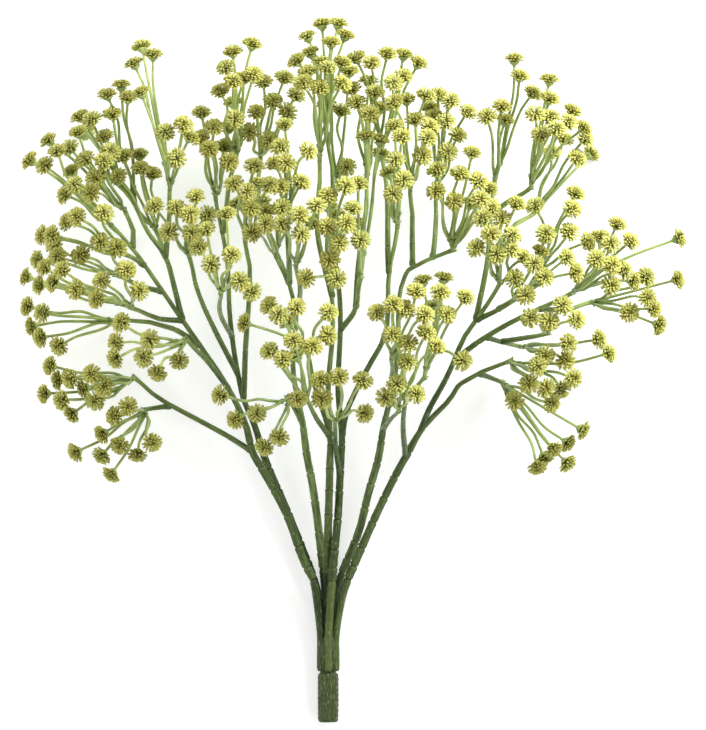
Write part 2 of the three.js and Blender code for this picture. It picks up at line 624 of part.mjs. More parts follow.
// Ribbed handle with its groove and rounded rim, and the seven fingers that leave it.
function handleSolid(stems) {
  const profile = [
    [HANDLE.foot, HANDLE.slim - 0.8], [HANDLE.foot + 1, HANDLE.slim],
    [HANDLE.groove - 1.2, HANDLE.slim], [HANDLE.groove, HANDLE.slim - 0.7],
    [HANDLE.groove + 1.2, HANDLE.full], [HANDLE.split - 6, HANDLE.full],
    [HANDLE.split, HANDLE.full - 2.2],
  ];
  const corners = 12;
  const frame = { ahead: vec(0, 1, 0), side: vec(0, 0, -1), other: vec(-1, 0, 0) };
  const skin = new Skin();
  const rings = profile.map(([y, r]) => {
    const radii = Array.from({ length: corners }, (_, k) => (k % 2 ? r * 0.9 : r));
    return skin.ring(ringAt(vec(HANDLE.x, y, HANDLE.z), frame, radii));
  });
  for (let i = 1; i < rings.length; i++) skin.band(rings[i - 1], rings[i]);
  skin.closeStart(rings[0]);
  skin.closeEnd(rings[rings.length - 1]);
  const bodies = [skin.solid()];
  for (const { routes } of stems) {
    const [base, next] = routes[0].route;
    const back = along(next.at, base.at);
    const end = base.at.clone().addScaledVector(back, SEAT_GAP);
    const low = vec(
      HANDLE.x + (end.x - HANDLE.x) * 0.36,
      HANDLE.split - 6,
      HANDLE.z + (end.z - HANDLE.z - 4.5) * 0.36,
    );
    const bow = end.clone().addScaledVector(back, 12);
    bodies.push(tube([low, bow, end], [FINGER_R * 0.95, FINGER_R, FINGER_R * 1.12], 4));
  }
  return joined(bodies);
}

// ---- assembly -------------------------------------------------------------------------------

const STEM_GREEN = new THREE.MeshStandardMaterial({ color: 0x4f7038, roughness: 0.55 });
const SPRAY_OLIVE = new THREE.MeshStandardMaterial({ color: 0xa8a53c, roughness: 0.6 });

function meshOf(name, solid, material) {
  const { vertProperties, triVerts } = solid.getMesh();
  const geometry = new THREE.BufferGeometry();
  geometry.setAttribute('position', new THREE.BufferAttribute(vertProperties, 3));
  geometry.setIndex(new THREE.BufferAttribute(triVerts, 1));
  const merged = mergeVertices(geometry, 1e-4);
  merged.computeVertexNormals();
  const mesh = new THREE.Mesh(merged, material);
  mesh.name = name;
  return mesh;
}

const stems = PLAN.map(buildStem);
relax(stems);

const bush = new THREE.Group();
bush.add(meshOf('handle', handleSolid(stems), STEM_GREEN));
for (const stem of stems) {
  bush.add(meshOf(stem.name, stemSolid(stem), STEM_GREEN));
  for (const spray of stem.sprays) bush.add(meshOf(spray.name, spraySolid(spray), SPRAY_OLIVE));
}

// The frame's origin is under the middle of the bush, on the floor.
const box = new THREE.Box3().setFromObject(bush);
const centre = box.getCenter(vec(0, 0, 0));
for (const mesh of bush.children) {
  mesh.geometry.translate(-centre.x, -centre.y, -box.min.z);
}

export default bush;
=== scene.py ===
# Looks of the artificial gypsophila bush: every stem, stalk and flower head is modelled afresh
# along the routes of the CAD solids, in procedural plastic.
# The plan and all shapes are in millimetres; lights, floor, camera and meshes are in metres.

import math

import bpy
import numpy as np
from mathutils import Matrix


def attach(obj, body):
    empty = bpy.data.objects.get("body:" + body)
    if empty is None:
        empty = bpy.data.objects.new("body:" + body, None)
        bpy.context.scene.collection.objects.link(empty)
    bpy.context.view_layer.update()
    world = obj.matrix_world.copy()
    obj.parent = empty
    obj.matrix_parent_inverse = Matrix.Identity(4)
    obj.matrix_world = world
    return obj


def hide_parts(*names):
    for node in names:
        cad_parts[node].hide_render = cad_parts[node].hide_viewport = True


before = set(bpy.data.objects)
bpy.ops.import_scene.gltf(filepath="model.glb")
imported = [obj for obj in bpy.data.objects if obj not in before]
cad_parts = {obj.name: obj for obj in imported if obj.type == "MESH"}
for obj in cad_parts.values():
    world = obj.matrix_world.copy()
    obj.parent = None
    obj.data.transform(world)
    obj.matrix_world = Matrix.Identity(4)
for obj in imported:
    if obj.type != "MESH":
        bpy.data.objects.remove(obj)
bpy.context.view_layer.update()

MM = 0.001

# ---- sizes, as in the CAD source ------------------------------------------------------------

HANDLE = dict(x=-16.6, z=7.2, foot=-226.0, groove=-194.0, split=-163.0, slim=6.6, full=7.15)
FINGER_R = 2.2
STEM_R = 2.35
LIMB_R = 1.75
TWIG_R = 1.15
BRANCH_END_R = TWIG_R * 1.12
PEDICEL_R = 0.85
JOINTS_UP_TO = -44.0
HEAD_R = 6.3
STALK = 37.0
REACH = 66.0  # from a spray's root to the middle of its heads
LEAST_DROP = 12  # of the root below that middle
LEAST_ROOT_Z = 11
CROWN = dict(x=-2.0, y=88.0, wide=222.0, up=142.0, down=156.0, mid=42.0, top=176.0, low=9.0)
FOOT_Z = 4.2

# ---- plan of the bush, as in the CAD source -------------------------------------------------
# Each stem: name, start, then its sprays: depth in the crown, route to the root, heads. A head's
# third number is how much further back it lies than its spray, or FOOT: it rests on the floor.

FOOT = 9

PLAN = [
["left_front", [-26, -135, 17], [
  [0.75, [[-32, -124], [-43.5, -93], [-59.5, -63.7], [-65.3, -53.4], [-69, -39.4], [-82, -13.8],
    [-98.6, 13.8], [-109, 31], [-121, 50], [-132.6, 67], [-140.4, 77.5], [-152, 88]],
  [[-207, 133], [-197, 130], [-190, 138], [-184.5, 111.6, 0.3], [-178, 117], [-181, 125, 0.3]]],
  [0.55, [[-140.4, 77.5], [-141, 88], [-146, 99]],
    [[-195.5, 146], [-180.5, 141.5], [-177, 150], [-171.7, 134], [-165.3, 121.3], [-169, 112.6],
      [-160.7, 132]]],
  [0.8, [[-132.6, 67], [-144, 72]],
    [[-184, 92.5], [-177, 96.5], [-160, 98.8], [-198.3, 85], [-191.6, 86], [-161.4, 80.7, 0.3]]],
  [0.5, [[-121, 50], [-138, 54], [-150, 59]],
    [[-191, 78.5], [-189.4, 72], [-202.2, 69.5], [-174.5, 72.5], [-152.5, 77]]],
  [0.9, [[-109, 31], [-126, 33], [-140, 38]],
    [[-209.3, 58.3], [-196.9, 62.5], [-200.8, 54], [-192, 56.5], [-186.2, 62], [-177.4, 50.5],
      [-161, 55.4], [-164, 44.5], [-145.4, 62.5], [-137.2, 49.5]]],
  [0.4, [[-98.6, 13.8], [-112, 24], [-128, 30], [-148, 31]],
    [[-208.5, 39.5], [-199.5, 35.5], [-206, 26.5], [-200, 20], [-189.5, 15]]],
  [0.95, [[-82, -13.8], [-94, 3], [-106, 17]],
    [[-148, 29], [-151.5, 16.5], [-152, 6.5], [-130, 18.5], [-133.5, 7], [-125.5, -2],
      [-112.5, 5.5, 0.3]]],
  [0.7, [[-65.3, -53.4], [-78.7, -45], [-98.6, -34], [-117, -23.4], [-128.6, -16], [-139, -7.5]],
    [[-194, 1], [-190, -7], [-181, -7.5], [-167, -4.5], [-173.5, -13], [-160.5, -10.5],
      [-197, -16], [-187, -20], [-181, -28.5], [-166.5, -19.5]]],
  [0.75, [[-117, -23.4], [-132, -26]],
    [[-144.5, -24.5], [-153, -30.5], [-160.5, -43], [-178, -53.5], [-161, -55], [-150, -49],
      [-155.5, -67], [-138.5, -53.5], [-130.5, -48]]],
  [0.3, [[-109, 31], [-113, 50], [-120, 72], [-134, 91], [-139, 102]],
    [[-156, 175], [-150, 180.5], [-146, 173.5], [-175, 161], [-168, 159], [-171.5, 151, FOOT],
      [-160, 147.5], [-155, 163], [-156, 139.5]]],
  [0.85, [[-120, 72], [-120, 95], [-118, 114]],
    [[-136, 206], [-129, 200.5], [-140.5, 195], [-136, 176], [-120, 150.5], [-113.4, 134],
      [-109.5, 155], [-105, 148, 0.3]]],
  [0.2, [[-120, 72], [-126, 86]],
    [[-160, 124.6], [-151, 123.6], [-148, 133.5], [-138, 136.5], [-137.2, 129], [-131.5, 124]]],
]],
["left_back", [-29.4, -133, 7], [
  [0.35, [[-41.6, -90], [-55.7, -61.8], [-64, -38], [-72.3, -20], [-74.9, -4.8], [-76.8, 19.5],
    [-79, 40], [-81.6, 61.8], [-86, 86], [-88.7, 108]],
  [[-97.5, 163], [-90.5, 154], [-97.2, 147], [-93, 140.5], [-82.5, 141.5, 0.2], [-80.1, 132.2],
    [-81, 153.5, 0.2]]],
  [0.6, [[-86, 86], [-80, 112], [-76, 134]],
    [[-77.3, 202.3], [-65.5, 207], [-81, 191.6], [-84.4, 177.5], [-78, 182.5], [-71, 185.5],
      [-64.5, 187.5], [-77, 169.8, 0.3], [-76, 159]]],
  [0.75, [[-74.9, -4.8], [-88.3, 24.6], [-99, 50], [-105, 70]],
    [[-127.2, 103], [-118, 87], [-113.4, 102], [-101, 109], [-104, 98], [-94.5, 98],
      [-103.5, 86.5]]],
  [0.95, [[-76.8, 19.5], [-84, 34], [-85, 47]],
    [[-94.5, 86.7], [-97.6, 77.5], [-91.5, 67], [-80.9, 98.1], [-78, 71.8], [-72.3, 55],
      [-66, 49.5]]],
  [0.8, [[-72.3, -20], [-67.2, 24.6], [-68, 61.8], [-69.5, 80]],
    [[-63.8, 128.6], [-76.2, 117], [-68.1, 111.6], [-54.2, 116.5], [-61.5, 118, 0.3],
      [-74.5, 105.2, 0.3], [-66, 103]]],
]],
["middle_back", [-20, -128, 4.6], [
  [0.7, [[-23, -100.8], [-26.9, -73.3], [-30.7, -53.4], [-33.3, -34.2], [-37.8, 4.8], [-38, 36],
    [-43, 54.7], [-49.6, 71]],
  [[-45, 115.5], [-35.4, 118], [-46.7, 103], [-56, 99.5], [-58.8, 106.5, 0.3], [-56.7, 92],
    [-64.5, 86.7]]],
  [0.3, [[-43, 54.7], [-54, 84], [-60, 112], [-60, 134]],
    [[-58, 183], [-43.9, 184.5], [-52.5, 170], [-61.6, 164], [-67, 151], [-54.9, 146],
      [-38.5, 175], [-42.8, 165]]],
  [0.95, [[-38, 36], [-36, 50], [-37, 64]],
    [[-45.3, 91.7], [-34.3, 96], [-34.3, 87], [-24.4, 103], [-27.6, 91.7, 0.2]]],
  [0.9, [[-43, 54.7], [-42, 80], [-41, 103]],
    [[-44.3, 155], [-47, 140.5], [-29.5, 138.5], [-43.2, 131], [-50.5, 130.5, 0.2]]],
  [0.72, [[-33.3, -34.2], [-41, -21]],
    [[-85, -17], [-75.5, -32.5], [-62, -28.5], [-57, -50], [-47.5, -43.5]]],
]],
["middle_left", [-17.3, -131, 12.5], [
  [0.9, [[-16.6, -106.6], [-15.4, -63.7], [-15.4, -43.8], [-18.6, -29], [-28.8, 6.7]],
    [[-53.5, 39.5], [-48, 34.5], [-37, 38.5], [-42, 29, 0.3], [-69.5, 29, 0.2], [-16.5, 35.5],
      [-17, 21]]],
  [0.85, [[-15.4, -43.8], [-14.7, 15], [-15, 46], [-14.4, 60]],
    [[-15.5, 110.1], [-6.6, 115.1], [-15.5, 102.5, 0.3], [-16.9, 89.9], [-10.5, 97.4, 0.3],
      [-5.2, 92.5], [-1, 101], [-9.8, 78.5], [-14.4, 69], [-11.6, 58.3], [-30.4, 57.6]]],
  [0.35, [[-15, 46], [-15, 84], [-11, 116]],
    [[-16, 177.5], [-16.6, 169.2], [-9.5, 165], [-4.8, 129], [-3, 190]]],
  [0.75, [[-15, 46], [-22, 90], [-22, 132]],
    [[-21.5, 195.5], [-29.6, 189], [-16.8, 190.5], [-30.5, 182], [-23.5, 180], [-8.5, 182.5],
      [-7.6, 195]]],
  [0.95, [[-15.4, -43.8], [-23, -33], [-29, -22]],
    [[-37, 17], [-28, 14.5], [-36.5, 7.5, 0.3], [-53, 10.5], [-46, 6], [-36, -19]]],
]],
["middle_front", [-14, -136, 20], [
  [0.75, [[-12.2, -114], [-10.2, -93], [-9, -69.4], [-7.7, -43.8], [-8.3, -24], [-10.2, 24.6],
    [-11, 60], [-13, 100], [-17, 146]],
  [[-29.6, 211.5], [-19, 220], [-11, 219.5], [-13.8, 208.5], [-6.5, 213], [-35, 196],
    [-28, 201.5]]],
  [0.85, [[-7.7, -43.8], [-4.5, -30.4], [2.6, -14.4], [9, 1], [19.8, 24.6], [24, 60], [27.7, 90]],
    [[26.3, 132.5], [22.7, 124.7, 0.3], [31, 119.4], [25.6, 111.9], [30, 147.7], [26, 154]]],
  [0.9, [[-9, -69.4], [-12, -50], [-12, -36]],
    [[5.5, -8], [6.5, -28.5], [-10.5, -6], [-20.5, -8], [-20.5, -19]]],
  [0.8, [[-10.2, 24.6], [0, 38], [4, 56]],
    [[2.5, 117.3], [1, 91.5, 0.3], [4, 81.7], [7.5, 148, 0.2], [16.7, 145, 0.3],
      [16.5, 137.5, 0.3]]],
  [0.55, [[0, 38], [6, 80], [8, 120]],
    [[1, 177.6], [8, 182.5], [13, 176.5], [3, 170], [8.6, 163.5], [17.7, 166.8, 0.2]]],
  [0.7, [[24, 60], [20, 105], [18, 138]],
    [[1.8, 198], [11, 195], [21.8, 200.5], [31.3, 200.2], [39.8, 194.3], [25.5, 182.5],
      [32, 187]]],
]],
["right_back", [-7.7, -131, 6], [
  [0.55, [[3.2, -104.6], [9, -81], [15.4, -58.6], [19.2, -39.4], [23, -24], [26.5, 10],
    [31.3, 50], [38.4, 66], [50, 71], [61, 75]],
  [[53.3, 126.5], [68.2, 123.5], [52.9, 113], [64.3, 106.6], [75.5, 137.5], [79.2, 118],
    [85.5, 114.5], [81, 108.5], [87, 103.5], [74.6, 105.5, 0.2]]],
  [0.35, [[50, 71], [51, 96], [53, 116]],
    [[54.3, 174.5], [61, 171], [49.5, 166.5, 0.1], [51.5, 160.5], [58, 158], [72.4, 164],
      [66, 148.5], [60, 138.5]]],
  [0.75, [[38.4, 66], [36, 92], [36, 113]],
    [[26.2, 169.5], [34.7, 171.6], [44, 173.5], [40.3, 158], [46.5, 154], [46.5, 146.5],
      [44, 137]]],
  [0.8, [[23, -24], [32, -18.2], [44, -7]],
    [[55, 48], [59, 34], [51, 39, 0.3], [71, 45], [44.4, 56, 0.3], [57, 57.5, 0.3], [69, 5]]],
  [0.95, [[23, -24], [23, -8], [24, 5]],
    [[15, 35.5], [25.5, 40], [33.5, 38.5], [44, 33.5], [39, 48]]],
  [0.95, [[19.2, -39.4], [28, -28]],
    [[34, 4.5], [27, -10.5], [20.5, -18], [39.5, -16.5]]],
]],
["right_front", [-3.8, -135, 16], [
  [0.7, [[5.8, -113], [14.7, -93], [26.9, -68], [33, -57], [43, -40], [50, -31], [60, -19],
    [66, -10], [80, -3], [98, 4]],
  [[162.5, 9.5], [139.5, -6.5], [132.5, -12.5], [116.5, 0.5], [113, -9], [121.5, -12]]],
  [0.8, [[43, -40], [50, -20], [63.4, 4.8], [71.7, 20.2], [79.4, 31], [92, 52]],
    [[103.4, 104.5], [93.5, 95], [83.5, 94], [86.5, 86.5], [100.2, 85], [78.2, 76.7],
      [91, 72.5], [100.6, 75, 0.2], [108.7, 71.5, 0.2]]],
  [0.5, [[79.4, 31], [84, 70], [88, 98], [90, 118]],
    [[85.6, 161], [94.1, 167], [97.3, 159, 0.2], [102.8, 197.6], [106, 187], [114.2, 176]]],
  [0.75, [[63.4, 4.8], [70, 10], [86, 20], [117, 37.4], [137, 47]],
    [[155.8, 68.9], [164.4, 66], [171.1, 61.5], [177.5, 56.5], [164.7, 55], [167.9, 91.3],
      [163.7, 79], [157, 84, 0.3], [176.5, 81], [207.4, 83.1]]],
  [0.35, [[117, 37.4], [134, 38], [150, 42]],
    [[186.8, 58.3], [207, 57], [188, 44.5], [191.5, 37.5], [176, 36], [194.5, 29.5]]],
  [0.9, [[79.4, 31], [92, 37], [101, 43]],
    [[135.6, 70], [140.6, 61.5], [115, 66.1], [120.7, 58.5], [117.8, 74.5, 0.3], [109.5, 47],
      [103, 57, 0.3]]],
  [0.6, [[92, 37], [108, 48], [117, 60]],
    [[141.3, 111], [139.1, 102.3], [116, 103.4], [122.4, 85.3], [138.1, 86.7], [148.4, 81]]],
  [0.25, [[84, 70], [100, 88], [115, 99]],
    [[134.3, 146], [147.6, 147], [127.5, 138.5], [152, 137.5, FOOT], [142.7, 134.5]]],
  [0.75, [[88, 98], [100, 106], [111, 114]],
    [[125, 184.3], [125, 171], [116.5, 162], [126.4, 160.6], [135.1, 157], [140, 163.5],
      [128.7, 153], [145.6, 154.5], [120.5, 149.5]]],
  [0.5, [[86, 20], [96, 16.5], [105, 14.5]],
    [[136.5, 15], [135.5, 6.5], [122, 8.5], [156, 18.5]]],
  [0.85, [[96, 16.5], [109, 18.5], [122, 22]],
    [[141.5, 31], [132.5, 39.5], [124.5, 30.5], [113, 32]]],
  [0.6, [[80, -3], [93, -8]],
    [[103, -20.5], [126, -22], [146, -39.5], [136.5, -48], [128, -51.5], [122, -57],
      [117.5, -62.5], [136, -60]]],
  [0.95, [[33, -57], [32, -38], [33, -18]],
    [[26, 20.5], [34.5, 17], [44, 21], [52, 14.5]]],
]],
]

# ---- frame of the bush: the same points, rods and relaxation as in the CAD source -----------

def mix(a, b, t):
    return [p + (q - p) * t for p, q in zip(a, b)]


def gap_between(a, b):
    return [p - q for p, q in zip(a, b)]


def moved(a, direction, distance):
    return [p + q * distance for p, q in zip(a, direction)]


def dot(a, b):
    return a[0] * b[0] + a[1] * b[1] + a[2] * b[2]


def length(v):
    return math.sqrt(dot(v, v))


def along(a, b):
    v = gap_between(b, a)
    scale = 1 / (length(v) or 1)
    return [p * scale for p in v]


def middle(places):
    total = [0.0, 0.0, 0.0]
    for place in places:
        total = moved(total, place, 1)
    return [p * (1 / len(places)) for p in total]


class Point:
    """A point of the frame; across and height say how freely relaxation may move it."""

    __slots__ = ("at", "home", "across", "height")

    def __init__(self, place, across, height):
        self.at = list(place)
        self.home = list(place)
        self.across = across
        self.height = height
        points.append(self)


points = []
rods = []


def crown_height(x, y, depth):
    side = (x - CROWN["x"]) / CROWN["wide"]
    end = (y - CROWN["y"]) / (CROWN["down"] if y < CROWN["y"] else CROWN["up"])
    rim = math.sqrt(max(0, 1 - side * side - end * end))
    skin = CROWN["mid"] + (CROWN["top"] - CROWN["mid"]) * rim
    back = CROWN["mid"] + (CROWN["low"] - CROWN["mid"]) * rim
    return back + (skin - back) * depth


def spray_heads(depth, heads, root_x, root_y):
    places = []
    for head in heads:
        x, y = head[0], head[1]
        back = head[2] if len(head) > 2 else 0
        places.append([x, y, FOOT_Z if back == FOOT else crown_height(x, y, depth - back)])
    centre = middle(places)
    flat = math.hypot(centre[0] - root_x, centre[1] - root_y)
    drop = math.sqrt(max(LEAST_DROP**2, REACH * REACH - flat * flat))
    return places, max(LEAST_ROOT_Z, centre[2] - drop)


def nearest_point(route, x, y):
    return min(route, key=lambda p: math.hypot(p.at[0] - x, p.at[1] - y))


def route_length(places):
    sums = [0.0]
    for (ax, ay), (bx, by) in zip(places, places[1:]):
        sums.append(sums[-1] + math.hypot(bx - ax, by - ay))
    return sums


def build_stem(name, base, spray_plans):
    start = Point(base, 0, 0)
    known = [start]
    routes = []
    sprays = []
    for index, (depth, way, heads) in enumerate(spray_plans):
        root_x, root_y = way[-1]
        places, root_z = spray_heads(depth, heads, root_x, root_y)
        first = nearest_point(known, *way[0]) if index else start
        rest = way[1:] if index else way
        sums = route_length([(first.at[0], first.at[1]), *rest])
        route = [first]
        for i, (x, y) in enumerate(rest):
            share = sums[i + 1] / sums[-1]
            z = first.at[2] + (root_z - first.at[2]) * share
            last = i == len(rest) - 1
            p = Point([x, y, z], 0 if last else 0.03, 0 if last else 0.5)
            low = index == 0 and y < JOINTS_UP_TO
            rods.append((route[-1], p, STEM_R if low else LIMB_R))
            route.append(p)
            if not last:
                known.append(p)
        routes.append((route, index == 0))
        sprays.append(build_spray(f"spray_{name}_{index + 1}", route, places, heads))
    return dict(name=f"stem_{name}", routes=routes, sprays=sprays)


def build_spray(name, route, places, heads):
    root = route[-1]
    triples = []
    i = 0
    while i < len(places):
        left = len(places) - i
        count = 4 if left == 4 else min(3, left)
        centre = middle(places[i:i + count])
        away = length(gap_between(centre, root.at))
        inward = along(centre, root.at)
        knot = Point(moved(centre, inward, min(STALK, away * 0.62)), 0.5, 1)
        bend = Point(mix(root.at, knot.at, 0.5), 0.8, 1)
        rods.extend([(root, bend, TWIG_R), (bend, knot, TWIG_R)])
        stalks = []
        for k in range(count):
            place = places[i + k]
            fixed = len(heads[i + k]) > 2 and heads[i + k][2] == FOOT
            head = Point(place, 0 if fixed else 0.12, 0 if fixed else 1)
            swing = moved(knot.at, inward, -0.5 * STALK)
            waist = Point(mix(mix(knot.at, place, 0.5), swing, 0.35), 0.8, 1)
            rods.extend([(knot, waist, PEDICEL_R), (waist, head, PEDICEL_R), (head, head, HEAD_R)])
            stalks.append((head, waist))
        triples.append(dict(knot=knot, bend=bend, stalks=stalks))
        i += count
    return dict(name=name, root=root, before=route[-2], triples=triples)


# Rods that would touch push each other apart; the steps are those of the CAD source.
ROUNDS = 120
SEARCH_EVERY = 8
EASING_SHARE = 0.6  # of the rounds, in which points are also drawn home and twigs drawn straight
HOMING = 0.03
BEND_EASE = 0.1
WAIST_EASE = 0.06
CLEARANCE = 0.9
FLOOR_CLEARANCE = 2.5
SEARCH_MARGIN = 4
LONGEST_STEP = 6


def near_pairs():
    a = np.array([rod[0].at for rod in rods])
    b = np.array([rod[1].at for rod in rods])
    r = np.array([rod[2] for rod in rods])
    mid = (a + b) / 2
    size = np.sqrt(((a - b) ** 2).sum(1)) / 2 + r + SEARCH_MARGIN
    found = []
    for i in range(len(rods) - 1):
        far = np.sqrt(((mid[i + 1:] - mid[i]) ** 2).sum(1))
        close = np.nonzero(far < size[i + 1:] + size[i])[0] + i + 1
        one = rods[i]
        for j in close.tolist():
            two = rods[j]
            if not {one[0], one[1]} & {two[0], two[1]}:
                found.append((*one[:2], *two[:2], one[2] + two[2] + CLEARANCE))
    return found


def clamp01(t):
    return min(1.0, max(0.0, t))


def push_apart(pair):
    a, b, c, d, room = pair
    u = gap_between(b.at, a.at)
    v = gap_between(d.at, c.at)
    w = gap_between(a.at, c.at)
    uu, vv, uv, uw, vw = dot(u, u), dot(v, v), dot(u, v), dot(u, w), dot(v, w)
    det = uu * vv - uv * uv
    s = clamp01((uv * vw - vv * uw) / det) if det > 1e-9 else 0.0
    t = clamp01((uv * s + vw) / vv) if vv > 1e-9 else 0.0
    s = clamp01((uv * t - uw) / uu) if uu > 1e-9 else 0.0
    gap = gap_between(moved(a.at, u, s), moved(c.at, v, t))
    size = length(gap)
    lack = room - size
    if lack <= 0:
        return
    gap = [g * (1 / size) for g in gap] if size >= 1e-6 else [0.0, 0.0, 1.0]
    flat = gap[0] * gap[0] + gap[1] * gap[1]
    steep = gap[2] * gap[2]
    give = 0.0
    ends = ((a, 1 - s, 1), (b, s, 1), (c, 1 - t, -1), (d, t, -1))
    for p, share, _ in ends:
        give += share * share * (flat * p.across + steep * p.height)
    if give < 1e-6:
        return
    step = min(lack / give, LONGEST_STEP / math.sqrt(give))
    for p, share, sign in ends:
        for k, freedom in enumerate((p.across, p.across, p.height)):
            p.at[k] += sign * step * share * freedom * gap[k]


def relax(stems):
    pairs = []
    for turn in range(ROUNDS):
        if turn % SEARCH_EVERY == 0:
            pairs = near_pairs()
        if turn < ROUNDS * EASING_SHARE:
            for p in points:
                if p.across + p.height > 0:
                    p.at = mix(p.at, p.home, HOMING)
            for stem in stems:
                for spray in stem["sprays"]:
                    ease_spray(spray)
        for pair in pairs:
            push_apart(pair)
        for p in points:
            if p.height > 0:
                p.at[2] = max(p.at[2], FLOOR_CLEARANCE)
        for a, b, _ in rods:
            if a is b and a.height > 0:
                a.at[2] = max(a.at[2], HEAD_R)


def ease_spray(spray):
    root = spray["root"]
    for triple in spray["triples"]:
        knot = triple["knot"]
        bend = triple["bend"]
        bend.at = mix(bend.at, mix(root.at, knot.at, 0.5), BEND_EASE)
        for head, waist in triple["stalks"]:
            waist.at = mix(waist.at, mix(knot.at, head.at, 0.5), WAIST_EASE)


# ---- meshes under construction --------------------------------------------------------------

GRAIN_RUN = 0.16  # how wide the plastic's streaks are against their length
GRAIN_START = 3.7  # makes the grain start elsewhere on each piece
FLOOR_SKIN = 0.0001  # metres above the floor at which what meets it lies flat


def placed(name, data):
    """A new object in the scene, with this mesh, light or camera."""
    thing = bpy.data.objects.new(name, data)
    bpy.context.scene.collection.objects.link(thing)
    return thing


class Form:
    """Collects quads and triangles. Each corner carries its shade (along, own random, group
    random) and its grain: a place in millimetres, stretched along what the plastic runs along."""

    def __init__(self):
        self.places = []
        self.shades = []
        self.grains = []
        self.quads = []
        self.count = 0

    def add(self, places, quads, shades, grains=None):
        self.places.append(np.asarray(places, float))
        self.grains.append(np.asarray(places if grains is None else grains, float))
        self.shades.append(np.asarray(shades, float))
        self.quads.append(np.asarray(quads, int) + self.count)
        self.count += len(places)

    def build(self, name):
        places = np.concatenate(self.places) * MM + SHIFT
        places[:, 2] = np.maximum(places[:, 2], FLOOR_SKIN)
        quads = np.concatenate(self.quads)
        shades = np.concatenate(self.shades)
        mesh = bpy.data.meshes.new(name)
        mesh.vertices.add(len(places))
        mesh.vertices.foreach_set("co", places.astype(np.float32).ravel())
        sizes = np.where(quads[:, 2] == quads[:, 3], 3, 4)
        keep = np.ones(quads.shape, bool)
        keep[:, 3] = sizes == 4
        corners = quads[keep]
        starts = np.concatenate(([0], np.cumsum(sizes)[:-1]))
        mesh.loops.add(len(corners))
        mesh.loops.foreach_set("vertex_index", corners.astype(np.int32))
        mesh.polygons.add(len(quads))
        mesh.polygons.foreach_set("loop_start", starts.astype(np.int32))
        mesh.update(calc_edges=True)
        mesh.shade_smooth()
        colours = np.ones((len(places), 4), np.float32)
        colours[:, :3] = shades
        layer = mesh.color_attributes.new("shade", "FLOAT_COLOR", "POINT")
        layer.data.foreach_set("color", colours.ravel())
        grain = mesh.attributes.new("grain", "FLOAT_VECTOR", "POINT")
        grain.data.foreach_set("vector", np.concatenate(self.grains).astype(np.float32).ravel())
        mesh.validate()
        return placed(name, mesh)


def columns(*values):
    """One row for each corner, ring or face; a single number goes into every row."""
    return np.stack(np.broadcast_arrays(*values), 1)


def rings_to_quads(rows, around):
    """Faces between rings of corners; both end rings are closed with a fan of triangles."""
    k = np.arange(around)
    after = (k + 1) % around
    quads = []
    for row in range(rows - 1):
        low = row * around
        high = low + around
        quads.append(columns(low + k, low + after, high + after, high + k))
    one = np.arange(1, around - 1)
    quads.append(columns(0, one + 1, one, one))
    quads.append(columns(0, one, one + 1, one + 1) + (rows - 1) * around)
    return np.concatenate(quads)


def unit(v):
    return v / max(np.linalg.norm(v), 1e-12)


# Directions that none of these parts lies along, from which their sides are found.
OFF_TWIG = (0.3, 0.5, 0.81)
OFF_STALK = (0.31, 0.83, 0.46)
OFF_HEAD = (0.2, 0.9, 0.39)


def sides_of(direction, off):
    """Two directions square to this one and to each other."""
    side = unit(np.cross(direction, off))
    return side, np.cross(direction, side)


def carried(path):
    """Two sides of a path, carried along it without twist."""
    ahead = np.empty_like(path)
    ahead[1:-1] = path[2:] - path[:-2]
    ahead[0] = path[1] - path[0]
    ahead[-1] = path[-1] - path[-2]
    ahead /= np.linalg.norm(ahead, axis=1)[:, None]
    side = np.array([0.0, 0, 1]) if abs(ahead[0][2]) < 0.8 else np.array([1.0, 0, 0])
    sides = []
    for direction in ahead:
        side = unit(side - direction * side.dot(direction))
        sides.append(side)
    sides = np.array(sides)
    return sides, np.cross(ahead, sides)


def curve_through(places, per_span):
    """Centripetal Catmull-Rom through the places, with per_span points in each span."""
    p = np.asarray(places, float)
    if len(p) == 2:
        return p[0] + (p[1] - p[0]) * np.linspace(0, 1, per_span + 1)[:, None]
    p = np.vstack([2 * p[0] - p[1], p, 2 * p[-1] - p[-2]])
    t = np.arange(per_span)[:, None] / per_span
    found = []
    for i in range(1, len(p) - 2):
        d0, d1, d2 = (max(np.linalg.norm(p[i + k] - p[i + k - 1]), 1e-6) ** 0.5 for k in range(3))
        out = (p[i] - p[i - 1]) / d0 - (p[i + 1] - p[i - 1]) / (d0 + d1) + (p[i + 1] - p[i]) / d1
        back = (p[i + 1] - p[i]) / d1 - (p[i + 2] - p[i]) / (d1 + d2) + (p[i + 2] - p[i + 1]) / d2
        out, back = out * d1, back * d1
        found.append((2 * t**3 - 3 * t**2 + 1) * p[i] + (t**3 - 2 * t**2 + t) * out
                     + (-2 * t**3 + 3 * t**2) * p[i + 1] + (t**3 - t**2) * back)
    found.append(p[-2][None, :])
    return np.concatenate(found)


def distances(path):
    """How far along the path each of its points lies."""
    return np.concatenate(([0], np.cumsum(np.linalg.norm(np.diff(path, axis=0), axis=1))))


def sample(path, at):
    """The path's places at these distances along it."""
    sums = distances(path)
    return columns(*(np.interp(at, sums, column) for column in path.T))


def spaced(path, step):
    """The path resampled at about equal steps; also the distance of each point along it."""
    total = distances(path)[-1]
    at = np.linspace(0, total, max(2, int(round(total / step))) + 1)
    return sample(path, at), at


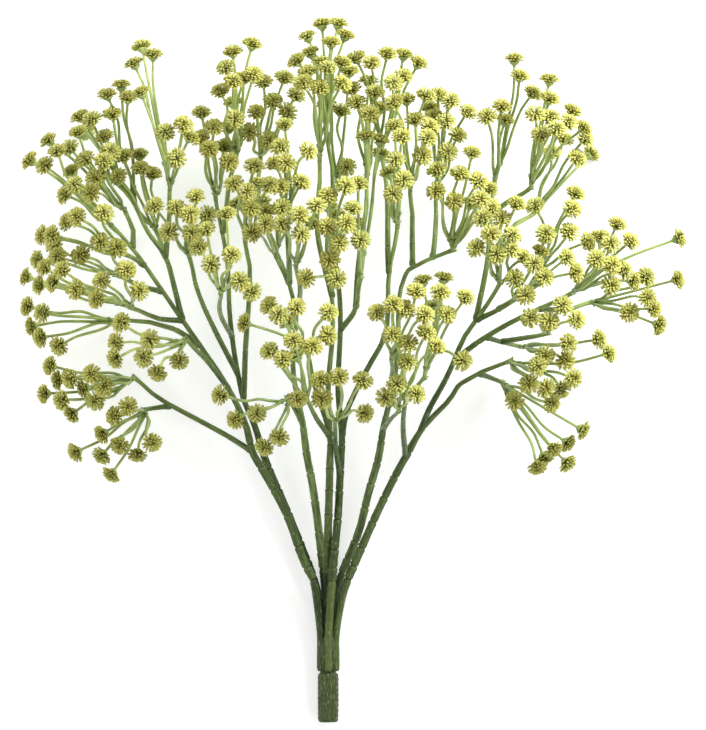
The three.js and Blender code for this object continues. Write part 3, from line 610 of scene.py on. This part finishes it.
def add_tube(form, path, radii, around, tone, flutes, depth, turn):
    """A fluted tube with closed ends; radii and tone have a number and a row for each ring."""
    side, other = carried(path)
    angle = turn + 2 * np.pi * np.arange(around) / around
    cos, sin = np.cos(angle), np.sin(angle)
    r = radii[:, None] * (1 + depth * np.cos(flutes * angle))[None, :]
    places = (path[:, None, :]
              + r[:, :, None] * (cos[None, :, None] * side[:, None, :]
                                 + sin[None, :, None] * other[:, None, :]))
    start = path[0].sum() * GRAIN_START
    grains = np.stack([np.outer(radii, cos), np.outer(radii, sin),
                       np.repeat(distances(path)[:, None] * GRAIN_RUN + start, around, 1)], 2)
    form.add(places.reshape(-1, 3), rings_to_quads(len(path), around),
             np.repeat(tone, around, 0), grains.reshape(-1, 3))


def add_lathe(form, centre, direction, profile, around, shade, waves):
    """A turned form with rings of (radius, height); its corners go in and out by the waves."""
    side, other = sides_of(direction, OFF_HEAD)
    angle = 2 * np.pi * np.arange(around) / around
    swell = 1 + waves * (-1.0) ** np.arange(around)
    rings = []
    for radius, height in profile:
        r = radius * swell
        rings.append(centre + direction * height + (r * np.cos(angle))[:, None] * side
                     + (r * np.sin(angle))[:, None] * other)
    form.add(np.concatenate(rings), rings_to_quads(len(profile), around),
             np.tile(shade, (len(profile) * around, 1)))


SPIKE_FACES = [[0, 1, 3, 3], [1, 2, 3, 3], [2, 0, 3, 3], [0, 2, 1, 1]]
SPIKE_CORNERS = (0.3, 2.4, 4.5)


def add_bract(form, centre, ahead, off, angle, base, tip, width, shade):
    """A tiny three-sided spike at an angle round a stalk. The base is so far ahead of the centre
    and so far out from it, and the tip so far ahead of the base and out from it."""
    side, other = sides_of(ahead, off)
    out = math.cos(angle) * side + math.sin(angle) * other
    root = centre + ahead * base[0] + out * base[1]
    spike = ahead * tip[0] + out * tip[1]
    side = unit(np.cross(spike, OFF_STALK))
    other = unit(np.cross(spike, side))
    ring = [root + width * (math.cos(a) * side + math.sin(a) * other) for a in SPIKE_CORNERS]
    form.add([*ring, root + spike], SPIKE_FACES, np.tile(shade, (4, 1)))


# ---- flower heads ---------------------------------------------------------------------------

# Whorls from the rim inwards: petals, reach, tip height, how high they arch, petal width, and
# tone at the root, where inner petals are lighter.
WHORLS = [
    (15, 6.85, 0.5, 0.2, 1.75, 0),
    (13, 6.0, 1.8, 1.6, 1.65, 0),
    (12, 4.9, 2.8, 2.9, 1.45, 0.12),
    (9, 3.6, 3.4, 3.9, 1.3, 0.26),
    (5, 2.1, 3.7, 4.2, 1.2, 0.34),
]
# Sections along a petal: where, how wide, how thick, and how deep the notch in the tip.
ALONG = np.array([0.0, 0.4, 0.7, 0.9, 1.0])
WIDTHS = np.array([0.2, 0.42, 0.82, 1.0, 0.72])
THICKNESS = np.array([1.4, 1.0, 1.0, 1.0, 1.0])
NOTCH = np.array([0.0, 0.0, 0.0, 0.0, -0.07])
# The four corners of a section, which make a channelled strap: across, and up or down.
SECTION = ((-1, 0.3), (0, -0.12), (1, 0.3), (0, -0.42))
# The grey-green button in the middle of the petals.
BUTTON = [(1.5, 0.2), (1.35, 1.1), (0.85, 1.65), (0.3, 1.8)]


def arc(start, pull, end):
    """A curve along the petal from start to end, drawn towards the pull."""
    t = ALONG
    return (1 - t) ** 2 * start + 2 * t * (1 - t) * pull + t**2 * end


def petal_places(rng):
    """All petals of one head about the origin, facing +Z."""
    places, shades, quads = [], [], []
    corners = len(SECTION) * len(ALONG)
    petal_quads = rings_to_quads(len(ALONG), len(SECTION))
    start = rng.uniform(0, 2 * math.pi)
    for whorl, (number, reach, tip, arch, width, root_tone) in enumerate(WHORLS):
        start += math.pi / number
        for k in range(number):
            angle = start + 2 * math.pi * (k + rng.uniform(-0.22, 0.22)) / number
            far = reach * rng.uniform(0.88, 1.0 if whorl == 0 else 1.04)
            high = tip + rng.uniform(-0.45, 0.45)
            crest = arch + rng.uniform(-0.3, 0.3)
            span = width * rng.uniform(0.8, 1.1)
            twist = rng.uniform(-0.35, 0.35)
            bend = rng.uniform(-0.1, 0.1)
            rho = arc(0.35, 0.42 * far + 0.15, far)
            z = arc(-1.6, crest, high)
            slope = np.gradient(z, rho + 1e-3 * ALONG)
            run = 1 / np.sqrt(1 + slope**2)
            half = 0.5 * span * WIDTHS
            yaw = angle + bend * ALONG
            cos, sin = np.cos(yaw), np.sin(yaw)
            rows = []
            for across, lift in SECTION:
                side = across * half * math.cos(twist)
                rise = lift * THICKNESS + across * half * math.sin(twist)
                r = rho + (0 if across else NOTCH * far) - slope * run * rise
                rows.append(columns(r * cos - side * sin, r * sin + side * cos, z + run * rise))
            places.append(np.stack(rows, 1).reshape(-1, 3))
            tones = np.repeat(root_tone + (1 - root_tone) * ALONG, len(SECTION))
            shades.append(columns(tones, rng.uniform(0, 1)))
            quads.append(petal_quads + corners * len(quads))
    return np.concatenate(places), np.concatenate(quads), np.concatenate(shades)


def add_head(form, centre, direction, size, rng):
    places, quads, shades = petal_places(rng)
    # Painted light: heads higher up the bush are made lighter, as the light falls strongest there.
    painted_light_up_bush = 0.3 * np.clip((centre[1] - 30) / 150, 0, 1)  # heads are lighter up the bush
    shades[:, 0] += painted_light_up_bush * (1 - shades[:, 0])
    turned = np.stack([*sides_of(direction, OFF_HEAD), direction])
    group = rng.uniform(0, 1)
    form.add(centre + size * places @ turned, quads, columns(*shades.T, group))
    button = [(radius * size, height * size) for radius, height in BUTTON]
    add_lathe(form, centre, direction, button, 6, (-0.5, 0.5, group), 0.0)


# ---- sprays: foot, twigs, knots, stalks and calyxes -----------------------------------------

# Rings of (radius, height), the height along the stalk.
SPRAY_FOOT = [(1.2, -0.9), (1.45, -0.5), (1.55, 0.1), (1.5, 1.6), (1.6, 3.2), (1.72, 4.0),
              (1.3, 4.6)]
KNOT = [(1.1, -1.9), (1.5, -1.3), (1.72, -0.5), (1.68, 0.3), (1.45, 0.95), (0.8, 1.35)]
CALYX = [(0.7, -5.6), (0.85, -4.8), (1.3, -4.0), (2.1, -3.1), (2.9, -2.2), (3.4, -1.5),
         (2.6, -1.0)]
NECK = 4.6  # how far below its head's middle a stalk ends
# How far up a twig its stalks part; above that they run beside each other to the CAD's knot.
TWIG_SHARE = 0.32


def place_of(point):
    return np.array(point.at, float)


def make_spray(spray, rng):
    stalks, heads = Form(), Form()
    root = place_of(spray["root"])
    ahead = unit(root - place_of(spray["before"]))
    group = rng.uniform(0, 1)
    add_lathe(stalks, root, ahead, SPRAY_FOOT, 12, (0.55, 0.5, group), 0.03)
    for k in range(4):
        angle = k * math.pi / 2 + rng.uniform(-0.4, 0.4)
        add_bract(stalks, root, ahead, OFF_TWIG, angle, (4.1, 1.6), (1.7, 0.9), 0.5,
                  (0.6, 0.5, group))
    inside = root + ahead * 2.5
    for triple in spray["triples"]:
        knot = place_of(triple["knot"])
        whole, _ = spaced(curve_through([inside, place_of(triple["bend"]), knot], 10), 1.6)
        parting = int(len(whole) * TWIG_SHARE)
        path, at = spaced(whole[:parting + 1], 3.2)
        joint = path[-1]
        arrive = unit(joint - path[-2])
        onwards = unit(whole[-1] - whole[-3])
        share = at / at[-1]
        radii = TWIG_R * (1.16 - 0.12 * share) + 0.05 * np.sin(at * 1.1)
        tone = columns(0.66 + 0.15 * share, rng.uniform(0, 1), group)
        add_tube(stalks, path, radii, 8, tone, 2, 0.06, rng.uniform(0, 3))
        add_lathe(stalks, joint, arrive, KNOT, 10, (0.5, 0.2, group), 0.05)
        for k in range(5):
            angle = k * 2 * math.pi / 5 + rng.uniform(-0.3, 0.3)
            add_bract(stalks, joint, arrive, OFF_TWIG, angle, (0.3, 1.35), (1.5, 0.9), 0.45,
                      (0.55, 0.6, group))
        for head_point, waist_point in triple["stalks"]:
            head, waist = place_of(head_point), place_of(waist_point)
            last = unit(head - waist)
            away = waist - knot
            away = unit(away - onwards * away.dot(onwards))
            beside = whole[(parting + len(whole)) // 2] + away * rng.uniform(1.7, 3.4)
            route = [joint, beside, knot + away * rng.uniform(2.6, 5.4), waist,
                     head - last * NECK]
            add_stalk(stalks, route, head, last, group, rng)
            size = rng.uniform(1.02, 1.12)
            add_head(heads, head, unit(last + rng.normal(0, 0.06, 3)), size, rng)
    return stalks, heads


def add_stalk(form, route, head, last, group, rng):
    """A stalk with two bracts below its head, and the head's calyx with its six teeth."""
    path, at = spaced(curve_through(route, 10), 3.8)
    share = at / at[-1]
    radii = PEDICEL_R * (1.28 - 0.16 * share) + 0.03 * np.sin(at * 1.7 + group * 9)
    own = rng.uniform(0, 1)
    # Painted shade: stalks at the left of the crown, away from the light, are made darker and
    # greener.
    painted_shade_at_left = 0.14 * np.clip((-100 - path[:, 0]) / 90, 0, 1)  # greener at the left of the crown
    tone = columns(0.77 + 0.25 * share - painted_shade_at_left, own, group)
    add_tube(form, path, radii, 6, tone, 2, 0.07, rng.uniform(0, 3))
    add_lathe(form, head, last, CALYX, 10, (0.95, own, group), 0.05)
    start = rng.uniform(0, 6)
    for k, back in enumerate((8.6, 9.4)):
        add_bract(form, head, last, OFF_STALK, start + k * 2.6, (-back, 0.4), (1.7, 0.8), 0.36,
                  (0.9, own, group))
    for k in range(6):
        add_bract(form, head, last, OFF_STALK, start + k * math.pi / 3, (-2.4, 2.5), (1.6, 1.4),
                  0.6, (1.0, own, group))


# ---- stems ----------------------------------------------------------------------------------

# One length between two joints: millimetres from its lower (+) or upper (-) end, girth, and how
# deep in the groove the ring lies. That depth paints shade in the groove; below zero, at the lips,
# it paints a highlight.
LENGTH_PROFILE = [(0.0, 0.74, 1.0), (0.45, 0.84, 1.0), (1.0, 0.99, -0.8), (2.0, 1.0, 0.0),
                  (None, 0.96, 0.0), (-3.4, 0.99, 0.0), (-1.9, 1.06, -0.2), (-1.1, 1.08, -0.9),
                  (-0.5, 0.95, 0.6), (-0.02, 0.76, 1.0)]
# Lengths between the joints of a stem, from the handle up.
JOINT_STEPS = (9.5, 13.5, 20.5, 18.5, 15.5, 16, 17, 18, 19, 20, 21, 22, 23, 24, 25, 26)
LAST_LENGTH = 24.0  # the least length between a stem's last joint and its spray
# Painted shade: a stem is darker in a groove; a groove depth below zero paints a highlight on a
# lip.
GROOVE_SHADE_AND_LIP_LIGHT = 0.22  # how much darker a stem is in a groove
COLLAR = [(1.6, 0.0), (2.1, 0.8), (2.15, 2.2), (1.95, 3.4), (1.7, 4.4)]


def eased(share):
    share = np.clip(share, 0, 1)
    return share * share * (3 - 2 * share)


def sway(places):
    """How far the slight waves of the crown's branches carry these places, in millimetres."""
    x, y = places[..., 0], places[..., 1]
    wave = np.stack([1.6 * np.sin(y / 16 + x / 24), 0.9 * np.sin(x / 15 + 0.7),
                     1.2 * np.sin(y / 17 + x / 12 + 1)], -1)
    return wave * eased((y + 60) / 50)[..., None]


def swayed_route(route, per_span):
    """The curve of a route with those waves; its end, where a spray sits, stays put."""
    path = curve_through([point.at for point in route], per_span)
    steps = np.linalg.norm(np.diff(path, axis=0), axis=1)
    left = np.append(np.cumsum(steps[::-1])[::-1], 0)
    return path + sway(path) * eased(left / 20)[:, None]


def jointed_rings(marks, girth, strength):
    """Distances, radii and groove depths of the rings of a stem or branch jointed at the marks."""
    found = []
    for low, high in zip(marks, marks[1:]):
        for offset, size, groove in LENGTH_PROFILE:
            if offset is None:
                place = (low + high) / 2
            else:
                place = (high if offset < 0 else low) + offset
            power = strength(place)
            found.append((place, girth(place) * (1 + (size - 1) * power), groove * power))
    return [np.array(column) for column in zip(*found)]


def height_tone(y):
    """Stems and branches get lighter up the bush."""
    return np.clip((y + 110) / 300, 0, 1) * 0.58


def add_jointed(form, route, jointed_end, shade, rng):
    """A stem, with full joints up to the jointed end and slighter ones above it."""
    path = swayed_route(route, 16)
    total = distances(path)[-1]
    marks = [0.0]
    for step in JOINT_STEPS:
        step *= rng.uniform(0.86, 1.14)
        if marks[-1] + step < total - LAST_LENGTH:
            marks.append(marks[-1] + step)
    marks.append(total)

    def girth(place):
        if place < jointed_end:
            return STEM_R * (1.2 - 0.12 * place / jointed_end)
        fade = (place - jointed_end) / (total - jointed_end)
        low_end = STEM_R * (1.08 - 0.22 * min(1, 5 * fade))
        return low_end * (1 - fade) + BRANCH_END_R * fade

    def strength(place):
        return 1.0 if place < jointed_end else max(0.3, 1 - (place - jointed_end) / 40)

    at, radii, groove = jointed_rings(marks, girth, strength)
    places = sample(path, at)
    paler = 0.12 * np.clip((at - jointed_end) / (total - jointed_end), 0, 1)
    # painted shade in the grooves and painted highlights on the lips of the joints
    tone = columns(height_tone(places[:, 1]) - GROOVE_SHADE_AND_LIP_LIGHT * groove + paler,
                   rng.uniform(0, 1), shade)
    add_tube(form, places, radii, 24, tone, 6, 0.06, rng.uniform(0, 1))


def add_branch(form, route, shade, rng):
    """A branch with faint joints, and the collar where it leaves its stem."""
    path = swayed_route(route, 10)
    total = distances(path)[-1]
    marks = [0.0]
    step = 19 * rng.uniform(0.85, 1.15)
    while marks[-1] + step < total - 14:
        marks.append(marks[-1] + step)
        step *= 1.1
    marks.append(total)

    def girth(place):
        fade = place / total
        return LIMB_R * 1.05 * (1 - fade) + BRANCH_END_R * fade

    at, radii, groove = jointed_rings(marks, girth, lambda place: 0.4)
    places = sample(path, at)
    # painted shade in the grooves and painted highlights on the lips of the joints
    tone = columns(height_tone(places[:, 1]) - GROOVE_SHADE_AND_LIP_LIGHT * groove + 0.2 * at / total,
                   rng.uniform(0, 1), shade)
    add_tube(form, places, radii, 14, tone, 4, 0.07, rng.uniform(0, 1))
    start = place_of(route[0])
    add_lathe(form, start + sway(start), unit(place_of(route[1]) - start), COLLAR, 12,
              (height_tone(start[1]), 0.4, shade), 0.03)


def make_stem(stem, shade, rng):
    form = Form()
    for route, jointed in stem["routes"]:
        if jointed:
            low = [point for point in route if point.at[1] < JOINTS_UP_TO]
            low_length = sum(length(gap_between(a.at, b.at)) for a, b in zip(low, low[1:]))
            add_jointed(form, route, low_length + 6, shade, rng)
        else:
            add_branch(form, route, shade, rng)
    return form


# ---- handle ---------------------------------------------------------------------------------

# Where each stem's finger lies in the handle: its turn round the middle (None is the middle
# itself), and how much it keeps to its stem's direction on the way.
FINGERS = dict(left_front=(150, 0.1), left_back=(212, 0.5), middle_back=(268, 0.5),
               middle_left=(None, 0.5), middle_front=(88, 0.5), right_back=(328, 0.5),
               right_front=(28, 0.5))
# The cut end and the groove reach this much lower than in the solids, as in the photograph.
LOWER_FOOT = 1.3
LOWER_GROOVE = 1.1
HANDLE_GROUP = 0.05  # how pale the handle's green is


def handle_profile(foot, groove, split, slim, full):
    """Places of the handle's rings along it, and their radii."""
    corners = [(foot, slim - 1.5), (foot + 0.25, slim - 0.75), (foot + 0.9, slim - 0.2),
               (foot + 2.2, slim), (foot + 16, slim + 0.15), (groove - 3.4, slim + 0.1),
               (groove - 1.9, slim), (groove - 0.9, slim - 0.45), (groove - 0.2, slim - 1.5),
               (groove + 0.4, slim - 1.6), (groove + 1.0, slim - 0.8), (groove + 2.4, slim - 0.1),
               (groove + 5, full - 0.25), (groove + 9, full + 0.1), (split - 16, full + 0.05),
               (split - 11, full - 0.9), (split - 7, full - 2.2), (split - 3, full - 3.9)]
    at = sorted({y for y, _ in corners} | set(np.arange(foot + 3, split - 4, 0.9)))
    return [(y, np.interp(y, *zip(*corners))) for y in at]


def make_handle(stems, rng):
    form = Form()
    foot, groove = HANDLE["foot"] - LOWER_FOOT, HANDLE["groove"] - LOWER_GROOVE
    split, full = HANDLE["split"], HANDLE["full"]
    around = 112
    angle = 2 * np.pi * np.arange(around) / around
    cos, sin = np.cos(angle), np.sin(angle)
    places, grains, deep = [], [], []
    for y, r in handle_profile(foot, groove, split, HANDLE["slim"], full):
        near_end = min(1.0, (y - foot) / 2.2)
        lumps = np.sin(1.9 * y + 4 * np.cos(3 * angle) + 2 * np.sin(5 * angle))
        ribs = 1 + near_end * (0.028 * np.cos(19 * angle + 0.5 * np.sin(y * 0.35))
                               + 0.02 * np.cos(7 * angle + 1.3) + 0.022 * lumps)
        size = r * ribs / 1.04
        places.append(columns(HANDLE["x"] + size * cos, y, HANDLE["z"] + size * sin))
        grains.append(columns(r * cos, r * sin, y * GRAIN_RUN))
        # Painted shade: the rings in the handle's groove are made darker.
        deep.append(0.35 if abs(y - groove - 0.1) < 0.7 else 0.0)
    tone = columns(-0.05 - 0.5 * np.repeat(deep, around), 0.3, HANDLE_GROUP)
    # These rings turn the other way round their axis, so their faces are turned over.
    quads = rings_to_quads(len(places), around)
    quads = np.where(quads[:, 2:3] == quads[:, 3:4], quads[:, [0, 2, 1, 1]], quads[:, ::-1])
    form.add(np.concatenate(places), quads, tone, np.concatenate(grains))
    for stem in stems:
        route = stem["routes"][0][0]
        base, after = place_of(route[0]), place_of(route[1])
        back = unit(base - after)
        end = base + back * 0.1
        turn, keeping = FINGERS[stem["name"][5:]]
        out = 0.0 if turn is None else full + 0.5 - FINGER_R * 1.06
        across = out * math.cos(math.radians(turn or 0))
        up = out * math.sin(math.radians(turn or 0))
        low = np.array([HANDLE["x"] + across, groove + 0.7, HANDLE["z"] + up])
        parting = np.array([low[0], split - 9, low[2]])
        bow = end + 12 * (keeping * back + (1 - keeping) * unit(parting - end))
        path, at = spaced(curve_through([low, (low + parting) / 2, parting, bow, end], 12), 1.5)
        share = at / at[-1]
        radii = FINGER_R * (1.16 - 0.04 * share) * (1 + 0.02 * np.sin(at * 2.1 + across))
        radii[:2] *= (0.72, 0.95)
        radii[-3:] *= (1.04, 0.97, 0.82)
        path[:, 2] = np.maximum(path[:, 2], radii * 1.06 - SHIFT[2] / MM)
        tone = columns(-0.045 - 0.15 * (share > 0.995), rng.uniform(0, 1), HANDLE_GROUP)
        add_tube(form, path, radii, 24, tone, 8, 0.05, rng.uniform(0, 1))
    return form


# ---- materials ------------------------------------------------------------------------------

def srgb(*levels):
    """Linear colour from sRGB levels of 0 to 255."""
    found = []
    for level in levels:
        c = level / 255
        found.append(c / 12.92 if c <= 0.04045 else ((c + 0.055) / 1.055) ** 2.4)
    return (*found, 1.0)


class Nodes:
    """Short hand for building one material's node tree."""

    def __init__(self, name):
        self.material = bpy.data.materials.new(name)
        self.material.use_nodes = True
        self.tree = self.material.node_tree
        self.tree.nodes.clear()
        self.shader = self.tree.nodes.new("ShaderNodeBsdfPrincipled")
        output = self.tree.nodes.new("ShaderNodeOutputMaterial")
        self.feed(output, {"Surface": self.shader.outputs[0]})

    def feed(self, node, inputs):
        """Gives each input a number, a colour or another node's output; returns the outputs."""
        for name, value in inputs.items():
            if hasattr(value, "is_output"):
                self.tree.links.new(value, node.inputs[name])
            else:
                node.inputs[name].default_value = value
        return node.outputs

    def carried_by_mesh(self, name):
        layer = self.tree.nodes.new("ShaderNodeAttribute")
        layer.attribute_name = name
        return layer.outputs

    def shade(self):
        """The three numbers that the mesh carries: along, own random and group random; on the stems
        the group number is their paleness, which on the back stems is painted light.
        """
        split = self.tree.nodes.new("ShaderNodeSeparateColor")
        return tuple(self.feed(split, {0: self.carried_by_mesh("shade")["Color"]}))

    def sums(self, operation, *values):
        node = self.tree.nodes.new("ShaderNodeMath")
        node.operation = operation
        return self.feed(node, dict(enumerate(values)))[0]

    def ramp(self, factor, stops):
        node = self.tree.nodes.new("ShaderNodeValToRGB")
        elements = node.color_ramp.elements
        while len(elements) < len(stops):
            elements.new(0.5)
        for element, (place, colour) in zip(elements, stops):
            element.position = place
            element.color = colour
        return self.feed(node, {0: factor})[0]

    def mixed(self, factor, a, b, blend="MIX"):
        node = self.tree.nodes.new("ShaderNodeMix")
        node.data_type = "RGBA"
        node.blend_type = blend
        # its sockets 6 and 7 and its output 2 are the ones for colours
        return self.feed(node, {0: factor, 6: a, 7: b})[2]

    def noise(self, scale, detail, place=None):
        """Noise over the grain that the mesh carries, or over another place."""
        node = self.tree.nodes.new("ShaderNodeTexNoise")
        if place is None:
            place = self.carried_by_mesh("grain")["Vector"]
        return self.feed(node, {"Scale": scale, "Detail": detail, "Vector": place})[0]

    def steep(self, factor, low, high):
        """The factor's range from low to high, stretched to 0 to 1."""
        node = self.tree.nodes.new("ShaderNodeMapRange")
        return self.feed(node, {"Value": factor, "From Min": low, "From Max": high})[0]

    def bump(self, height, strength, distance):
        node = self.tree.nodes.new("ShaderNodeBump")
        return self.feed(node, {"Height": height, "Strength": strength, "Distance": distance})[0]

    def finish(self, inputs):
        self.feed(self.shader, inputs)
        return self.material


def petal_material():
    """Matt olive-yellow plastic petals: dark at the root, lightest at the tip."""
    n = Nodes("petal_plastic")
    where, own, group = n.shade()
    # The along number also carries painted light: heads higher up the bush are lighter.
    colour = n.ramp(where, [
        (0.0, srgb(66, 74, 30)), (0.34, srgb(136, 142, 64)), (0.6, srgb(188, 189, 88)),
        (1.0, srgb(224, 225, 138))])
    green = n.mixed(0.75, colour, srgb(170, 185, 110), "MULTIPLY")
    colour = n.mixed(n.sums("MULTIPLY", own, 0.35), colour, green)
    colour = n.mixed(n.sums("MULTIPLY", group, 0.25), colour, srgb(214, 200, 82))
    blotch = n.steep(n.noise(0.45, 3.0), 0.3, 0.7)
    colour = n.mixed(n.sums("MULTIPLY", blotch, 0.22), colour, srgb(146, 146, 48))
    return n.finish({
        "Base Color": colour, "Roughness": n.sums("MULTIPLY_ADD", blotch, 0.3, 0.4),
        "Specular IOR Level": 0.25, "Normal": n.bump(n.noise(2.6, 2.0), 0.18, 0.0003)})


def stem_material():
    """Moulded green plastic: dark at the handle, lighter and yellower towards the flower stalks."""
    n = Nodes("stem_plastic")
    where, own, group = n.shade()
    # The along number also carries painted shade in the joints' grooves and at the left of the
    # crown, and painted highlights on the joints' lips.
    colour = n.ramp(n.sums("MULTIPLY_ADD", where, 0.8, 0.2), [
        (0.0, srgb(10, 18, 6)), (0.2, srgb(36, 54, 22)), (0.42, srgb(76, 99, 47)),
        (0.66, srgb(160, 182, 97)), (1.0, srgb(214, 228, 137))])
    # The group number: a random tone for stalks; for stems their paleness, which on the back stems
    # is painted light.
    colour = n.mixed(n.sums("MULTIPLY", group, 0.7), colour, srgb(150, 174, 108))
    streak = n.steep(n.noise(0.6, 4.0), 0.36, 0.62)
    deepest = n.sums("MULTIPLY_ADD", where, -0.4, 0.8)
    colour = n.mixed(n.sums("MULTIPLY", streak, deepest), colour, srgb(26, 41, 16))
    colour = n.mixed(n.sums("MULTIPLY", own, 0.18), colour, srgb(150, 168, 84))
    dash = n.steep(n.noise(1.5, 2.0), 0.54, 0.72)
    colour = n.mixed(n.sums("MULTIPLY", dash, 0.34), colour, srgb(156, 178, 112))
    return n.finish({
        "Base Color": colour, "Roughness": n.sums("MULTIPLY_ADD", streak, 0.28, 0.2),
        "Specular IOR Level": 0.24,
        "Normal": n.bump(n.sums("ADD", streak, dash), 0.45, 0.0004)})


def floor_material():
    """Pale paper that also glows a little, so that it comes out nearly white."""
    n = Nodes("floor_paper")
    place = n.tree.nodes.new("ShaderNodeTexCoord").outputs["Object"]
    grain = n.sums("MULTIPLY", n.noise(900.0, 2.0, place), 0.06)
    return n.finish({
        "Base Color": n.mixed(grain, (0.72, 0.72, 0.72, 1), (0.66, 0.66, 0.66, 1)),
        "Roughness": 0.9, "Emission Color": (1, 1, 1, 1), "Emission Strength": 0.42})


# ---- the bush -------------------------------------------------------------------------------

END_SLICE = 0.0003  # metres of the solid handle that count as its cut end


def plan_shift():
    """From the plan's millimetres to the frame: the handle's cut end is at a known place."""
    corners = np.array([v.co[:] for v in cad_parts["handle"].data.vertices])
    end = corners[corners[:, 1] < corners[:, 1].min() + END_SLICE]
    low, high = end.min(0), end.max(0)
    return np.array([(low[0] + high[0]) / 2 - HANDLE["x"] * MM, low[1] - HANDLE["foot"] * MM,
                     (low[2] + high[2]) / 2 - HANDLE["z"] * MM])


SHIFT = plan_shift()
# How pale a stem's green is: most of the ones at the back are lighter. Their high numbers are
# painted light, which makes up for the shade that the stems in front cast on them.
PALE_WITH_PAINTED_LIGHT = dict(left_front=0.18, left_back=0.18, middle_back=0.9, middle_left=0.1, middle_front=0.0,
            right_back=0.66, right_front=0.04)
# The left back stem leaves the handle hidden behind the left front one: how far its two lowest
# points go across to get there.
BEHIND = {"stem_left_back": (2.9, -2.0)}
SEED = 11
PETAL = petal_material()
STEM = stem_material()


def show(form, name, node, material):
    piece = form.build(name)
    piece.data.materials.append(material)
    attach(piece, "root")
    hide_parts(node)


stems = [build_stem(*plan) for plan in PLAN]
relax(stems)
for stem in stems:
    for point, across in zip(stem["routes"][0][0], BEHIND.get(stem["name"], ())):
        point.at = [point.at[0] + across, *point.at[1:]]
rng = np.random.default_rng(SEED)
show(make_handle(stems, rng), "handle_ribbed", "handle", STEM)
for stem in stems:
    short = stem["name"][5:]
    show(make_stem(stem, PALE_WITH_PAINTED_LIGHT[short], rng), f"jointed_{short}", stem["name"], STEM)
    for spray in stem["sprays"]:
        number = spray["name"][6:]
        stalks, heads = make_spray(spray, rng)
        show(stalks, f"stalks_{number}", spray["name"], STEM)
        show(heads, f"heads_{number}", spray["name"], PETAL)

# ---- floor, light and camera ----------------------------------------------------------------

HALF_FLOOR = 30.0
floor_mesh = bpy.data.meshes.new("floor")
floor_mesh.from_pydata([(x * HALF_FLOOR, y * HALF_FLOOR, 0)
                        for x, y in ((-1, -1), (1, -1), (1, 1), (-1, 1))], [], [(0, 1, 2, 3)])
floor = placed("floor", floor_mesh)
floor.data.materials.append(floor_material())

LIT_PLACE = (0, 0, 0.08)


def area_light(name, place, size, power):
    """A square light that looks at the lit place."""
    data = bpy.data.lights.new(name, "AREA")
    data.size = size
    data.energy = power
    lamp = placed(name, data)
    lamp.location = place
    offset = [LIT_PLACE[k] - place[k] for k in range(3)]
    pitch = math.atan2(math.hypot(offset[0], offset[1]), -offset[2])
    lamp.rotation_euler = (pitch, 0, math.atan2(offset[1], offset[0]) - math.pi / 2)


area_light("key", (0.95, 0.9, 0.8), 0.8, 31)
area_light("fill", (-1.6, 0.2, 1.0), 1.3, 13)
area_light("low_fill", (1.1, -1.0, 0.8), 1.0, 4.3)

world = bpy.data.worlds.new("studio")
world.use_nodes = True
world.node_tree.nodes["Background"].inputs["Color"].default_value = (1, 1, 1, 1)
world.node_tree.nodes["Background"].inputs["Strength"].default_value = 0.68
bpy.context.scene.world = world
bpy.context.scene.view_settings.view_transform = "Standard"

# The photograph is 706 x 730 at 0.64 mm a pixel, seen square on from far away.
PHOTO_HEIGHT = 730
PIXEL = 0.64
DISTANCE = 18.0
MIDDLE = (-0.64, 2.24)  # the photograph's middle in the plan
MIDDLE_Z = 0.07
SENSOR = 36
camera_data = bpy.data.cameras.new("camera")
camera_data.sensor_width = SENSOR
camera_data.lens = SENSOR * DISTANCE / (PHOTO_HEIGHT * PIXEL * MM)
camera_data.clip_start = 0.1
camera_data.clip_end = 60
camera = placed("camera", camera_data)
camera.location = (MIDDLE[0] * MM + SHIFT[0], MIDDLE[1] * MM + SHIFT[1], DISTANCE + MIDDLE_Z)
bpy.context.scene.camera = camera
